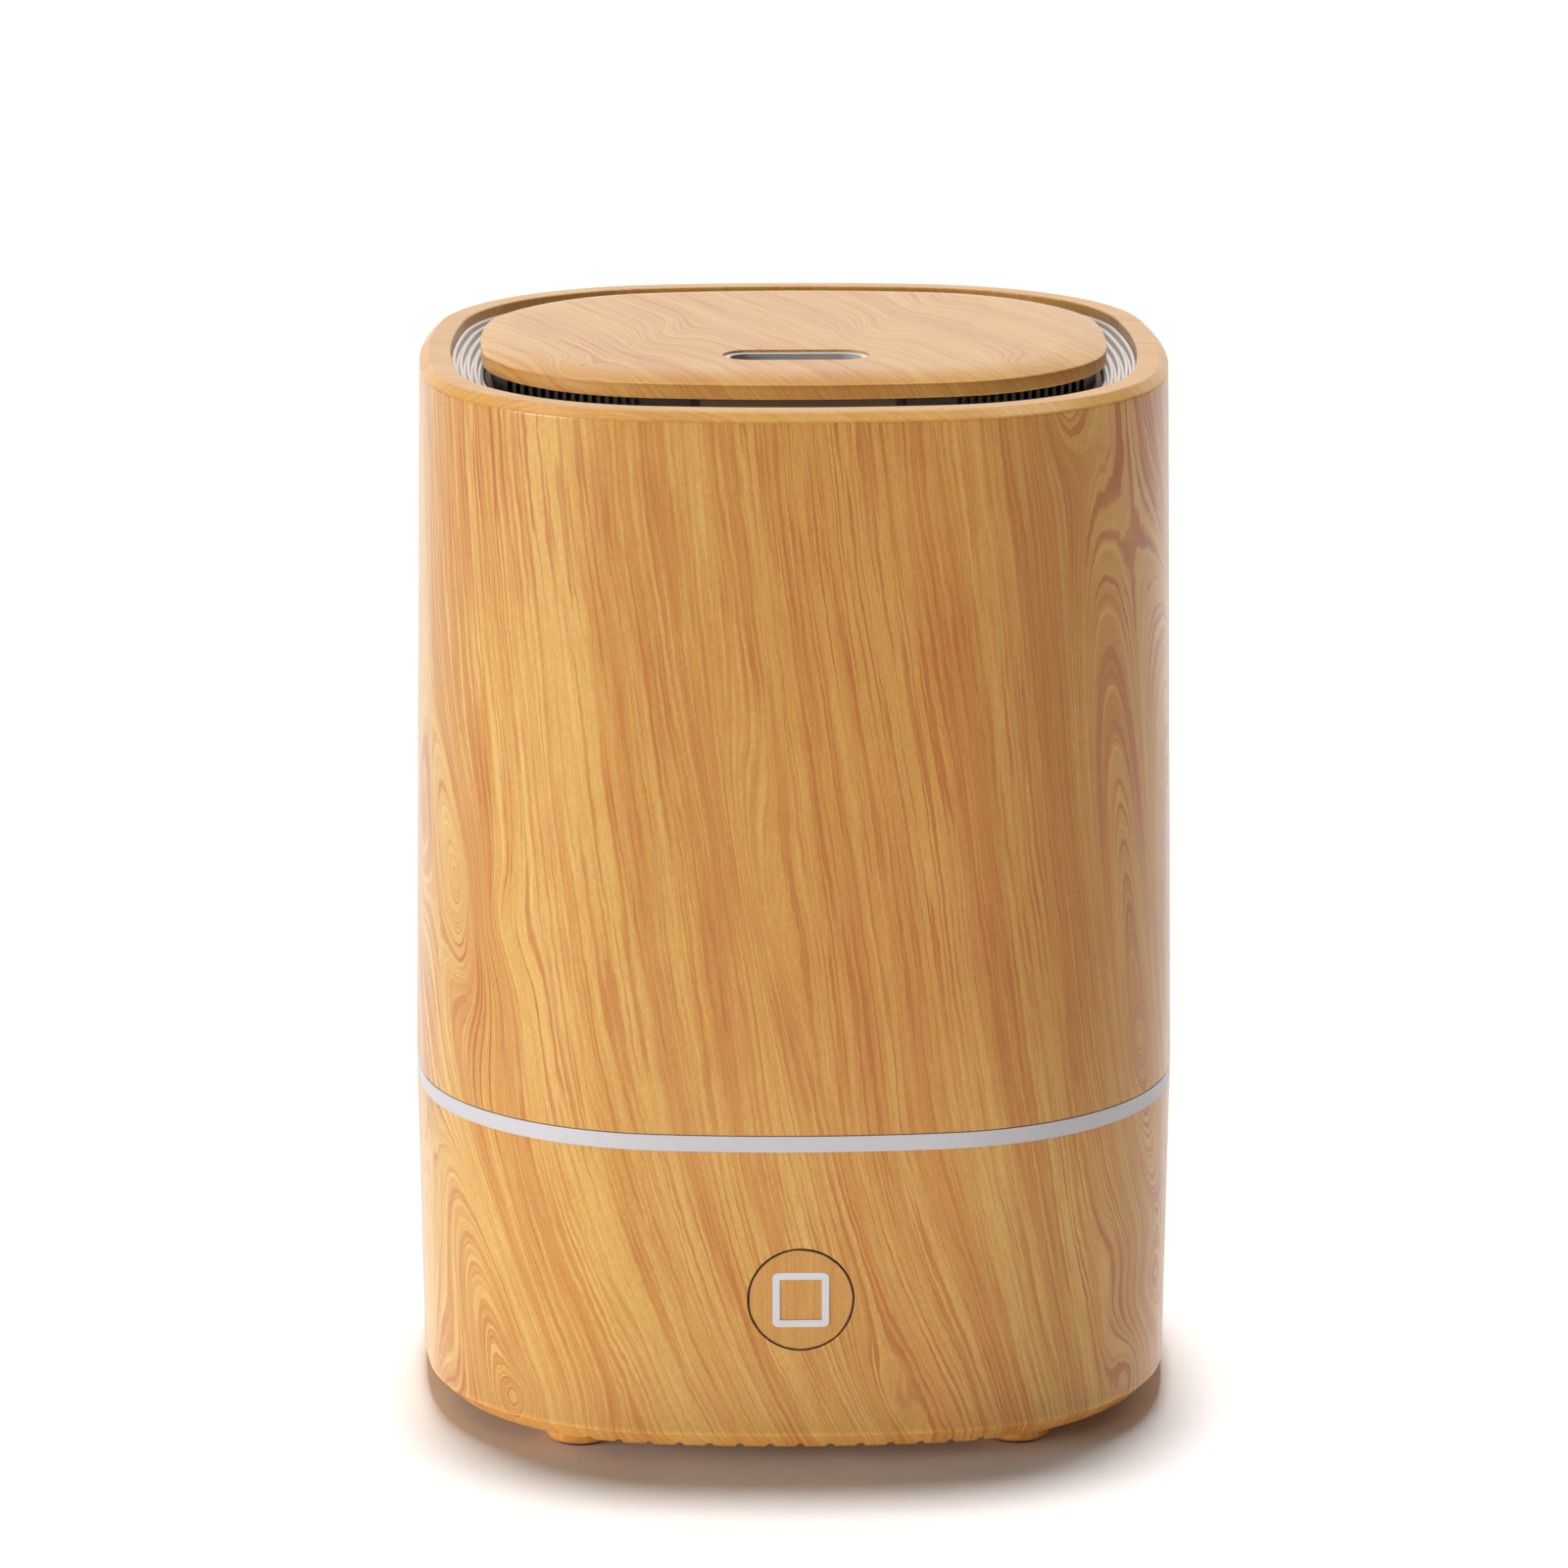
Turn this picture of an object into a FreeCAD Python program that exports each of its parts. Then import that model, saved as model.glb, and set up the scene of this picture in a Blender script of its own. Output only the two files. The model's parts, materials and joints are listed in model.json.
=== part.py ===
import FreeCAD, Part
import Sketcher
import math
import os
import re

# Ultrasonic essential oil diffuser, wood-look body on a rounded-square plan.
# Frame: origin on the standing surface under the centre of the body, +Z up, the button faces -Y.
# All lengths are millimetres.

V = FreeCAD.Vector
os.makedirs("parts", exist_ok=True)
doc = FreeCAD.newDocument("oil_diffuser")

# ---------------------------------------------------------------- dimensions
sheet = doc.addObject("Spreadsheet::Sheet", "dims")
D = {}


def dim(alias, value, note=""):
    row = len(D) + 1
    sheet.set("A%d" % row, alias)
    sheet.set("B%d" % row, repr(float(value)))
    sheet.set("C%d" % row, note)
    sheet.setAlias("B%d" % row, alias)
    D[alias] = float(value)


# plan curve: four long side arcs and four corner arcs, tangent
dim("side_c", 110.14, "side arc centre, distance past the axis")
dim("corner_k", 18.29, "half width minus corner radius")
dim("lid_kx", 78.89, "lid end arc centre distance")
dim("lid_ky", 94.95, "lid front and back arc centre distance")
dim("lid_rc", 31.1, "lid corner radius")
dim("lid_a", 48.8, "lid half width")
dim("lid_b", 41.3, "lid half depth")
# heights
dim("z_pad", 0.4, "underside of the feet")
dim("z_bot", 3.0, "underside of the body")
dim("z_split", 4.2, "joint of bottom plate and base shell")
dim("z_bevel", 5.4, "top of the bottom bevel")
dim("z_plate", 6.2, "inside face of the bottom plate")
dim("z_ledge_lo", 42.0)
dim("z_ledge", 44.6, "ledge that carries the light board")
dim("z_ring_lo", 51.04, "top of the base shell")
dim("z_ring_hi", 53.54, "top of the light ring")
dim("z_cover_lo", 53.79, "bottom edge of the upper cover")
dim("z_rim", 164.94, "rim of the upper cover")
dim("z_rib", 163.4, "top of the first rib of the recess")
dim("z_lid_lo", 163.7, "underside of the lid")
dim("z_lid_top", 167.35, "crown of the lid")
# half widths
dim("w_bot", 56.9, "underside")
dim("w_split", 58.1, "joint of bottom plate and shell")
dim("w_bevel", 59.3, "above the bottom bevel")
dim("w_ring", 60.0, "widest, at the ring")
dim("w_rim", 58.38, "at the rim")
dim("rim_ch", 1.4, "chamfer of the rim")
dim("w_open", 53.4, "opening in the rim")
dim("w_in", 56.2, "inside of the base shell")
dim("w_plug", 55.9, "plug of the bottom plate")
dim("w_ledge", 51.0, "inside of the ledge")
dim("w_ring_in", 54.1, "inside of the light ring")
dim("w_tank", 53.6, "outside of the water tank")
dim("tank_wall", 1.6)
dim("w_flange", 56.0, "tank flange")
dim("w_cov_in", 56.7, "inside of the cover at the bottom")
dim("w_cov_in_hi", 55.2, "inside of the cover under the top")
dim("z_cov_in", 157.0, "inside height of the cover")
# ribbed recess
dim("rib_pitch", 1.12)
dim("rib_drop", 0.5)
dim("rib_wall", 0.45)
dim("trim_fit", 0.05)
dim("z_trim_floor", 160.5)
dim("z_trim_low", 158.4)
# vent collar
dim("collar_off", 1.6, "collar set inside the lid outline")
dim("z_collar_hi", 163.4)
dim("collar_in", 2.6, "inside of the slatted skin")
dim("collar_back", 2.5, "outside of the backing ring")
dim("collar_inner", 3.6, "inside of the backing ring")
dim("insert_off", 4.1, "lid insert, set inside the lid outline")
dim("insert_in", 5.5)
dim("gasket_out", 1.9)
dim("gasket_in", 4.0)
dim("crown_rad", 800.0, "crown of the lid")
dim("z_liner_hi", 166.88, "top of the slot liner")
dim("slat_pitch", 1.3)
dim("slat_gap", 0.75)
dim("panel_half", 24.0, "plain panel in the front of the collar")
dim("panel_gap_x", 15.6)
dim("panel_gap_w", 1.4)
# mist slot
dim("slot_y", -22.4)
dim("slot_len", 22.5, "outside of the slot liner")
dim("slot_wid", 8.4)
dim("slot_wall", 1.1)
dim("duct_len", 26.0)
dim("duct_wid", 13.0)
dim("duct_wall", 1.4)
dim("z_duct_lo", 116.0)
# button
dim("btn_z", 27.49)
dim("btn_rad", 8.0)
dim("btn_hole", 8.22)
dim("btn_flange", 9.4)
dim("icon_out", 8.64)
dim("icon_in", 6.45)
# feet and screws
dim("foot_x", 34.0)
dim("foot_y", 43.0)
dim("foot_rad", 5.2)
dim("pad_rad", 4.0)
dim("boss_x", 51.0)
dim("boss_y", 18.0)
dim("boss_rad", 3.2)
dim("boss_hi", 18.0)
dim("screw_rad", 1.3)
dim("screw_head", 2.6)
# underside grooves
dim("groove_pitch", 4.65)
dim("groove_rad", 0.62)
dim("groove_n", 15)
# fan and air duct
dim("fan_x", -26.0)
dim("fan_y", 14.0)
dim("fan_size", 40.0)
dim("fan_thick", 10.0)
dim("fan_bore", 19.0)
dim("hub_rad", 10.0)
dim("air_rad", 8.0)
dim("air_wall", 1.3)
dim("z_air", 100.0)
# transducer
dim("tr_x", 14.0)
dim("tr_y", -8.0)
dim("tr_hole", 8.6)
dim("tr_rad", 10.0)
dim("z_tank", 47.0)
dim("tank_floor", 2.2)
dim("z_tank_hi", 106.0)
# power inlet
dim("jack_z", 17.0)
dim("jack_hole", 5.2)
dim("jack_bore", 2.9)
dim("jack_pin", 1.0)
dim("jack_face", 54.2)
# circuit board
dim("pcb_x", 24.0)
dim("pcb_z", 12.0)
dim("pcb_wid", 40.0)
dim("pcb_len", 68.0)
dim("pcb_thick", 1.6)
dim("post_x", 16.0)
dim("post_y", 30.0)
doc.recompute()


def num(expr):
    """Value of a sum of products of named dimensions."""
    total = 0.0
    for sign, term in re.findall(r"([+-]?)\s*([^+-]+)", expr):
        if not term.strip():
            continue
        val, op = 1.0, "*"
        for tok in re.split(r"([*/])", term):
            tok = tok.strip()
            if tok in ("*", "/"):
                op = tok
            elif tok:
                x = D[tok] if tok in D else float(tok)
                val = val * x if op == "*" else val / x
        total += -val if sign == "-" else val
    return total


def X(expr):
    return re.sub(r"[A-Za-z_][A-Za-z_0-9]*", lambda q: "dims." + q.group(0), expr)


# ---------------------------------------------------------------- helpers
def make_body(label):
    b = doc.addObject("PartDesign::Body", label)
    b.Label = label
    return b


def plane(b, role):
    for f in b.Origin.OriginFeatures:
        if f.Role == role:
            return f


def sketch(b, name, role="XY_Plane", z="0"):
    s = b.newObject("Sketcher::SketchObject", b.Label + "_" + name)
    s.AttachmentSupport = [(plane(b, role), "")]
    s.MapMode = "FlatFace"
    s.AttachmentOffset = FreeCAD.Placement(V(0, 0, num(z)), FreeCAD.Rotation())
    s.setExpression("AttachmentOffset.Base.z", X(z))
    return s


def drive(sk, con, name, expr):
    i = sk.addConstraint(con)
    sk.renameConstraint(i, name)
    sk.setExpression("Constraints." + name, X(expr))
    return i


def loop8(sk, tag, kx, ky, a, b, rc):
    """Closed plan curve of eight tangent arcs about the sketch origin."""
    nkx, nky, na, nb, nr = [num(e) for e in (kx, ky, a, b, rc)]
    cx, cy = na - nr, nb - nr
    for _ in range(40):
        f1 = math.hypot(cx + nkx, cy) - (nkx + na - nr)
        f2 = math.hypot(cx, cy + nky) - (nky + nb - nr)
        d1, d2 = math.hypot(cx + nkx, cy), math.hypot(cx, cy + nky)
        j11, j12, j21, j22 = (cx + nkx) / d1, cy / d1, cx / d2, (cy + nky) / d2
        det = j11 * j22 - j12 * j21
        cx -= (f1 * j22 - f2 * j12) / det
        cy -= (f2 * j11 - f1 * j21) / det
    t1, t2, pi = math.atan2(cy, cx + nkx), math.atan2(cy + nky, cx), math.pi
    arcs = [(-nkx, 0, nkx + na, -t1, t1), (cx, cy, nr, t1, t2),
            (0, -nky, nky + nb, t2, pi - t2), (-cx, cy, nr, pi - t2, pi - t1),
            (nkx, 0, nkx + na, pi - t1, pi + t1), (-cx, -cy, nr, pi + t1, pi + t2),
            (0, nky, nky + nb, pi + t2, 2 * pi - t2), (cx, -cy, nr, 2 * pi - t2, 2 * pi - t1)]
    g = [sk.addGeometry(Part.ArcOfCircle(Part.Circle(V(x, y, 0), V(0, 0, 1), r), s, e), False)
         for x, y, r, s, e in arcs]
    C = Sketcher.Constraint
    for i in range(8):
        sk.addConstraint(C("Tangent", g[i], 2, g[(i + 1) % 8], 1))
    for i, ax in ((0, -1), (4, -1), (2, -2), (6, -2)):
        sk.addConstraint(C("PointOnObject", g[i], 3, ax))
    drive(sk, C("DistanceX", g[0], 3, -1, 1, nkx), tag + "_e", kx)
    drive(sk, C("DistanceX", -1, 1, g[4], 3, nkx), tag + "_w", kx)
    drive(sk, C("DistanceY", g[2], 3, -1, 1, nky), tag + "_n", ky)
    drive(sk, C("DistanceY", -1, 1, g[6], 3, nky), tag + "_s", ky)
    drive(sk, C("Radius", g[0], nkx + na), tag + "_rx", kx + "+" + a)
    drive(sk, C("Radius", g[2], nky + nb), tag + "_ry", ky + "+" + b)
    drive(sk, C("Radius", g[1], nr), tag + "_rc", rc)
    sk.addConstraint(C("Equal", g[0], g[4]))
    sk.addConstraint(C("Equal", g[2], g[6]))
    for i in (3, 5, 7):
        sk.addConstraint(C("Equal", g[1], g[i]))


def sq(sk, tag, w):
    loop8(sk, tag, "side_c", "side_c", w, w, w + "-corner_k")


def oval(sk, tag, off):
    loop8(sk, tag, "lid_kx", "lid_ky", "lid_a-" + off, "lid_b-" + off, "lid_rc-" + off)


def at(sk, geo, pos, tag, x, y):
    """Hold a point at named distances from the sketch origin."""
    C = Sketcher.Constraint
    for kind, e, ax in (("DistanceX", x, -2), ("DistanceY", y, -1)):
        v = num(e)
        if abs(v) < 1e-9:
            sk.addConstraint(C("PointOnObject", geo, pos, ax))
        elif v > 0:
            drive(sk, C(kind, -1, 1, geo, pos, v), tag + kind[-1], e)
        else:
            neg = e[1:] if re.match(r"^-[A-Za-z_0-9.]+$", e) else "-1*(" + e + ")"
            i = sk.addConstraint(C(kind, geo, pos, -1, 1, -v))
            sk.renameConstraint(i, tag + kind[-1])
            sk.setExpression("Constraints." + tag + kind[-1], X(neg))


def circ(sk, tag, x, y, r):
    g = sk.addGeometry(Part.Circle(V(num(x), num(y), 0), V(0, 0, 1), num(r)), False)
    at(sk, g, 3, tag, x, y)
    drive(sk, Sketcher.Constraint("Radius", g, num(r)), tag + "r", r)


def box2(sk, tag, x, y, w, l):
    """Rectangle of size w by l with its low corner at x, y."""
    x0, y0, nw, nl = num(x), num(y), num(w), num(l)
    p = [V(x0, y0, 0), V(x0 + nw, y0, 0), V(x0 + nw, y0 + nl, 0), V(x0, y0 + nl, 0)]
    g = [sk.addGeometry(Part.LineSegment(p[i], p[(i + 1) % 4]), False) for i in range(4)]
    C = Sketcher.Constraint
    for i in range(4):
        sk.addConstraint(C("Coincident", g[i], 2, g[(i + 1) % 4], 1))
    for i in (0, 2):
        sk.addConstraint(C("Horizontal", g[i]))
        sk.addConstraint(C("Vertical", g[i + 1]))
    drive(sk, C("DistanceX", g[0], 1, g[0], 2, nw), tag + "w", w)
    drive(sk, C("DistanceY", g[1], 1, g[1], 2, nl), tag + "l", l)
    at(sk, g[0], 1, tag + "p", x, y)


def stadium(sk, tag, cy, half, rad):
    """Slot outline along X with round ends: end centres at x = +-half, radius rad."""
    ncy, c, r = num(cy), num(half), num(rad)
    g = [sk.addGeometry(Part.ArcOfCircle(Part.Circle(V(c, ncy, 0), V(0, 0, 1), r), -math.pi / 2, math.pi / 2), False),
         sk.addGeometry(Part.LineSegment(V(c, ncy + r, 0), V(-c, ncy + r, 0)), False),
         sk.addGeometry(Part.ArcOfCircle(Part.Circle(V(-c, ncy, 0), V(0, 0, 1), r), math.pi / 2, 3 * math.pi / 2), False),
         sk.addGeometry(Part.LineSegment(V(-c, ncy - r, 0), V(c, ncy - r, 0)), False)]
    C = Sketcher.Constraint
    for i in range(4):
        sk.addConstraint(C("Tangent", g[i], 2, g[(i + 1) % 4], 1))
    sk.addConstraint(C("Horizontal", g[1]))
    sk.addConstraint(C("Horizontal", g[3]))
    drive(sk, C("Radius", g[0], r), tag + "r", rad)
    at(sk, g[0], 3, tag + "e", half, cy)
    drive(sk, C("DistanceX", g[2], 3, -1, 1, c), tag + "wx", half)


def pad(b, sk, length, name, rev=False):
    f = b.newObject("PartDesign::Pad", b.Label + "_" + name)
    f.Profile = sk
    f.Length = num(length)
    f.setExpression("Length", X(length))
    f.Reversed = rev
    b.Tip = f
    return f


def pocket(b, sk, length, name, rev=False, both=False):
    doc.recompute()
    before = b.Shape.Volume
    f = b.newObject("PartDesign::Pocket", b.Label + "_" + name)
    f.Profile = sk
    f.Length = num(length)
    f.setExpression("Length", X(length))
    f.Reversed = rev
    f.Midplane = both
    b.Tip = f
    doc.recompute()
    if not b.Shape.Volume < before - 1e-3:
        raise RuntimeError("pocket cuts nothing: " + f.Name)
    return f


def loft(b, profile, section, name, sub=False):
    f = b.newObject("PartDesign::SubtractiveLoft" if sub else "PartDesign::AdditiveLoft", b.Label + "_" + name)
    f.Profile = profile
    f.Sections = [section]
    f.Ruled = True
    b.Tip = f
    return f


DIRS = {"z": V(0, 0, 1), "y": V(0, 1, 0), "-y": V(0, -1, 0), "x": V(1, 0, 0), "-z": V(0, 0, -1)}


def prim(kind, name, pos, axis="z", **props):
    o = doc.addObject("Part::" + kind, name)
    for k, e in props.items():
        setattr(o, k, num(e))
        o.setExpression(k, X(e))
    o.Placement = FreeCAD.Placement(V(*[num(p) for p in pos]), FreeCAD.Rotation(V(0, 0, 1), DIRS[axis]))
    for c, e in zip("xyz", pos):
        o.setExpression("Placement.Base." + c, X(e))
    return o


def cyl(name, pos, r, h, axis="z"):
    return prim("Cylinder", name, pos, axis, Radius=r, Height=h)


def box(name, pos, lx, ly, lz):
    return prim("Box", name, pos, "z", Length=lx, Width=ly, Height=lz)


def fuse(name, *objs):
    o = doc.addObject("Part::MultiFuse", name)
    o.Shapes = list(objs)
    return o


def cut(name, base, *tools):
    tool = tools[0] if len(tools) == 1 else fuse(name + "_tools", *tools)
    o = doc.addObject("Part::Cut", name)
    o.Base = base
    o.Tool = tool
    return o


NODES = []


def node(obj, label):
    obj.Label = label
    NODES.append(obj)
    return obj


# ---------------------------------------------------------------- base shell
b = make_body("base_shell")
s1 = sketch(b, "s1", z="z_split"); sq(s1, "o", "w_split")
s2 = sketch(b, "s2", z="z_bevel"); sq(s2, "o", "w_bevel")
loft(b, s1, s2, "bevel")
s3 = sketch(b, "s3", z="z_bevel"); sq(s3, "o", "w_bevel")
s4 = sketch(b, "s4", z="z_ring_lo"); sq(s4, "o", "w_ring")
loft(b, s3, s4, "wall")
s5 = sketch(b, "s5", z="z_ring_lo"); sq(s5, "i", "w_in")
pocket(b, s5, "z_ring_lo-z_ledge", "upper_room")
s6 = sketch(b, "s6", z="z_ledge"); sq(s6, "i", "w_ledge")
pocket(b, s6, "z_ledge-z_ledge_lo", "ledge_room")
s7 = sketch(b, "s7", z="z_ledge_lo"); sq(s7, "i", "w_in")
pocket(b, s7, "z_ledge_lo-z_split+1", "lower_room")
# screw bosses with their ribs to the side walls
s8 = sketch(b, "s8", z="z_plate")
for i, (sx, sy) in enumerate(((1, 1), (1, -1), (-1, 1), (-1, -1))):
    ex = "boss_x" if sx > 0 else "-boss_x"
    ey = "boss_y" if sy > 0 else "-boss_y"
    circ(s8, "b%d" % i, ex, ey, "boss_rad")
pad(b, s8, "boss_hi-z_plate", "bosses")
s9 = sketch(b, "s9", z="z_plate")
for i, (sx, sy) in enumerate(((1, 1), (1, -1), (-1, 1), (-1, -1))):
    box2(s9, "r%d" % i, "boss_x+1" if sx > 0 else "-boss_x-6.2", ("boss_y-1" if sy > 0 else "-boss_y-1"), "5.2", "2")
pad(b, s9, "boss_hi-z_plate", "ribs")
s10 = sketch(b, "s10", z="z_plate-1")
for i, (sx, sy) in enumerate(((1, 1), (1, -1), (-1, 1), (-1, -1))):
    circ(s10, "h%d" % i, "boss_x" if sx > 0 else "-boss_x", "boss_y" if sy > 0 else "-boss_y", "screw_rad")
pocket(b, s10, "10", "pilot_holes", rev=True)
# posts for the switch board, and the boss round the power inlet
s11 = sketch(b, "s11", "XZ_Plane", z="57")
for i, ex in enumerate(("14", "-14")):
    circ(s11, "p%d" % i, ex, "btn_z", "2.2")
pad(b, s11, "9.2", "switch_posts", rev=True)
s12 = sketch(b, "s12", "XZ_Plane", z="-jack_face")
circ(s12, "j", "0", "jack_z", "jack_hole+2")
pad(b, s12, "3", "inlet_boss", rev=True)
s13 = sketch(b, "s13", "XZ_Plane", z="62")
circ(s13, "h", "0", "btn_z", "btn_hole")
pocket(b, s13, "8", "button_hole")
s14 = sketch(b, "s14", "XZ_Plane", z="-jack_face+0.5")
circ(s14, "h", "0", "jack_z", "jack_hole")
pocket(b, s14, "8", "inlet_hole", rev=False)
s15 = sketch(b, "s15", "XZ_Plane", z="47")
for i, ex in enumerate(("14", "-14")):
    circ(s15, "q%d" % i, ex, "btn_z", "0.8")
pocket(b, s15, "6", "post_pilots", rev=True)
node(b, "base_shell")

# ---------------------------------------------------------------- bottom plate
b = make_body("bottom_plate")
s1 = sketch(b, "s1", z="z_bot"); sq(s1, "o", "w_bot")
s2 = sketch(b, "s2", z="z_split"); sq(s2, "o", "w_split")
loft(b, s1, s2, "bevel")
s3 = sketch(b, "s3", z="z_split"); sq(s3, "o", "w_plug")
pad(b, s3, "z_plate-z_split", "plug")
s4 = sketch(b, "s4", z="z_plate")
for i, (ex, ey) in enumerate((("pcb_x-post_x", "-post_y"), ("pcb_x+post_x", "-post_y"),
                              ("pcb_x-post_x", "post_y"), ("pcb_x+post_x", "post_y"))):
    circ(s4, "p%d" % i, ex, ey, "2.6")
pad(b, s4, "pcb_z-z_plate", "board_posts")
s5 = sketch(b, "s5", z="z_plate")
circ(s5, "a", "-4", "46", "1.6")
circ(s5, "b", "4", "46", "1.6")
pad(b, s5, "jack_z-5.5-1.6-z_plate", "jack_posts")
# underside grooves that run front to back
s6 = sketch(b, "s6", "XZ_Plane", z="0")
circ(s6, "g", "0", "z_bot", "groove_rad")
pocket(b, s6, "140", "groove", both=True)
g0 = b.Tip
pats = []
for k, rev in (("a", False), ("b", True)):
    lp = b.newObject("PartDesign::LinearPattern", "bottom_plate_pattern_" + k)
    lp.Originals = [g0]
    lp.Direction = (plane(b, "X_Axis"), [""])
    lp.Reversed = rev
    lp.Occurrences = 8
    lp.Length = num("groove_pitch*7")
    lp.setExpression("Length", X("groove_pitch*7"))
    b.Tip = lp
    doc.recompute()
# intake slots over the fan
s7 = sketch(b, "s7", z="z_bot-1")
for i in range(6):
    ex = "fan_x%s%s" % ("-" if i < 3 else "+", ["11.625", "6.975", "2.325"][i] if i < 3 else ["2.325", "6.975", "11.625"][i - 3])
    box2(s7, "v%d" % i, ex + "-1", "fan_y-13", "2", "26")
pocket(b, s7, "8", "intake", rev=True)
# screw clearance holes and counterbores
s8 = sketch(b, "s8", z="z_bot-1")
for i, (sx, sy) in enumerate(((1, 1), (1, -1), (-1, 1), (-1, -1))):
    circ(s8, "h%d" % i, "boss_x" if sx > 0 else "-boss_x", "boss_y" if sy > 0 else "-boss_y", "screw_rad+0.2")
pocket(b, s8, "8", "screw_holes", rev=True)
s9 = sketch(b, "s9", z="z_bot-1")
for i, (sx, sy) in enumerate(((1, 1), (1, -1), (-1, 1), (-1, -1))):
    circ(s9, "h%d" % i, "boss_x" if sx > 0 else "-boss_x", "boss_y" if sy > 0 else "-boss_y", "screw_head+0.3")
pocket(b, s9, "2.6", "screw_heads", rev=True)
s10 = sketch(b, "s10", z="z_plate+8")
circ(s10, "c", "fan_x-16", "fan_y+16", "1.1")
circ(s10, "d", "fan_x+16", "fan_y-16", "1.1")
circ(s10, "e", "pcb_x-post_x", "-post_y", "0.9")
circ(s10, "f", "pcb_x+post_x", "post_y", "0.9")
pocket(b, s10, "10", "pilots")
node(b, "bottom_plate")

# ---------------------------------------------------------------- feet, pads, screws
for i, (nm, sx, sy) in enumerate((("front_left", -1, -1), ("front_right", 1, -1), ("rear_left", -1, 1), ("rear_right", 1, 1))):
    ex = "foot_x" if sx > 0 else "-foot_x"
    ey = "foot_y" if sy > 0 else "-foot_y"
    c = cyl("foot_blank_" + nm, (ex, ey, "z_pad"), "foot_rad", "z_bot-z_pad")
    doc.recompute()
    f = doc.addObject("Part::Fillet", "foot_" + nm)
    f.Base = c
    low = [k + 1 for k, e in enumerate(c.Shape.Edges) if e.Length > 10 and abs(e.CenterOfMass.z - num("z_pad")) < 1e-3]
    f.Edges = [(k, 0.9, 0.9) for k in low]
    node(f, "foot_" + nm)
    node(cyl("foot_pad_" + nm, (ex, ey, "0"), "pad_rad", "z_pad"), "foot_pad_" + nm)
    sxx = "boss_x" if sx > 0 else "-boss_x"
    syy = "boss_y" if sy > 0 else "-boss_y"
    head = cyl("bs_head_" + nm, (sxx, syy, "z_bot+0.1"), "screw_head", "1.5")
    stem = cyl("bs_stem_" + nm, (sxx, syy, "z_bot+1.6"), "screw_rad-0.05", "10")
    sl1 = box("bs_slot1_" + nm, (sxx + "-1.5", syy + "-0.3", "z_bot-0.1"), "3", "0.6", "1")
    sl2 = box("bs_slot2_" + nm, (sxx + "-0.3", syy + "-1.5", "z_bot-0.1"), "0.6", "3", "1")
    node(cut("bottom_screw_" + nm, fuse("bs_body_" + nm, head, stem), sl1, sl2), "bottom_screw_" + nm)

# ---------------------------------------------------------------- light ring and its board
b = make_body("light_ring")
s1 = sketch(b, "s1", z="z_ring_lo"); sq(s1, "o", "w_ring"); sq(s1, "i", "w_ring_in")
pad(b, s1, "z_ring_hi-z_ring_lo", "band")
s2 = sketch(b, "s2", z="47.4"); sq(s2, "o", "w_in-0.3"); sq(s2, "i", "w_ring_in")
pad(b, s2, "z_ring_lo-47.4", "lip")
node(b, "light_ring")

b = make_body("led_board")
s1 = sketch(b, "s1", z="z_ledge"); sq(s1, "o", "w_in-0.4"); sq(s1, "i", "w_ledge+0.5")
pad(b, s1, "1.2", "board")
node(b, "led_board")
for nm, x, y, lx, ly in (("left", "-54.9", "-1.5", "1.6", "3"), ("right", "53.3", "-1.5", "1.6", "3"),
                         ("front", "-1.5", "-54.9", "3", "1.6"), ("rear", "-1.5", "53.3", "3", "1.6")):
    node(box("led_" + nm, (x, y, "z_ledge+1.2"), lx, ly, "1.1"), "led_" + nm)

# ---------------------------------------------------------------- water tank with its air duct
b = make_body("water_tank")
s1 = sketch(b, "s1", z="z_tank"); sq(s1, "o", "w_tank")
pad(b, s1, "z_tank_hi-z_tank", "block")
s2 = sketch(b, "s2", z="z_ring_hi"); sq(s2, "o", "w_flange")
pad(b, s2, "1.8", "flange")
s3 = sketch(b, "s3", z="z_tank_hi"); sq(s3, "i", "w_tank-tank_wall")
pocket(b, s3, "z_tank_hi-z_tank-tank_floor", "room")
s4 = sketch(b, "s4", z="z_tank"); circ(s4, "d", "fan_x", "fan_y", "air_rad")
pad(b, s4, "z_air-z_tank", "duct")
s5 = sketch(b, "s5", z="z_air"); circ(s5, "d", "fan_x", "fan_y", "air_rad-air_wall")
pocket(b, s5, "z_air-z_tank", "duct_bore")
s6 = sketch(b, "s6", z="z_tank+tank_floor"); circ(s6, "t", "tr_x", "tr_y", "tr_hole+3")
pad(b, s6, "1.2", "seat")
s7 = sketch(b, "s7", z="z_tank+tank_floor+1.2"); circ(s7, "t", "tr_x", "tr_y", "tr_hole")
pocket(b, s7, "tank_floor+1.2", "seat_hole")
s8 = sketch(b, "s8", z="z_tank")
circ(s8, "a", "tr_x-12.4", "tr_y", "0.9")
circ(s8, "b", "tr_x+12.4", "tr_y", "0.9")
pocket(b, s8, "1.6", "pilots", rev=True)
node(b, "water_tank")

# deflector cap on the air duct: a disc on three legs that stand inside the duct
b = make_body("duct_cap")
s1 = sketch(b, "s1", z="z_air+3.2"); circ(s1, "o", "fan_x", "fan_y", "air_rad+1.2")
pad(b, s1, "1.4", "disc")
s2 = sketch(b, "s2", z="z_air-4"); circ(s2, "o", "fan_x", "fan_y", "air_rad-air_wall-0.05"); circ(s2, "i", "fan_x", "fan_y", "air_rad-air_wall-1.25")
pad(b, s2, "7.2", "collar")
s3 = sketch(b, "s3", z="z_air")
box2(s3, "a", "fan_x-2.2", "fan_y-10", "4.4", "20")
pocket(b, s3, "3.2", "window_y", rev=True)
s4 = sketch(b, "s4", z="z_air")
box2(s4, "a", "fan_x-10", "fan_y-2.2", "20", "4.4")
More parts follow.
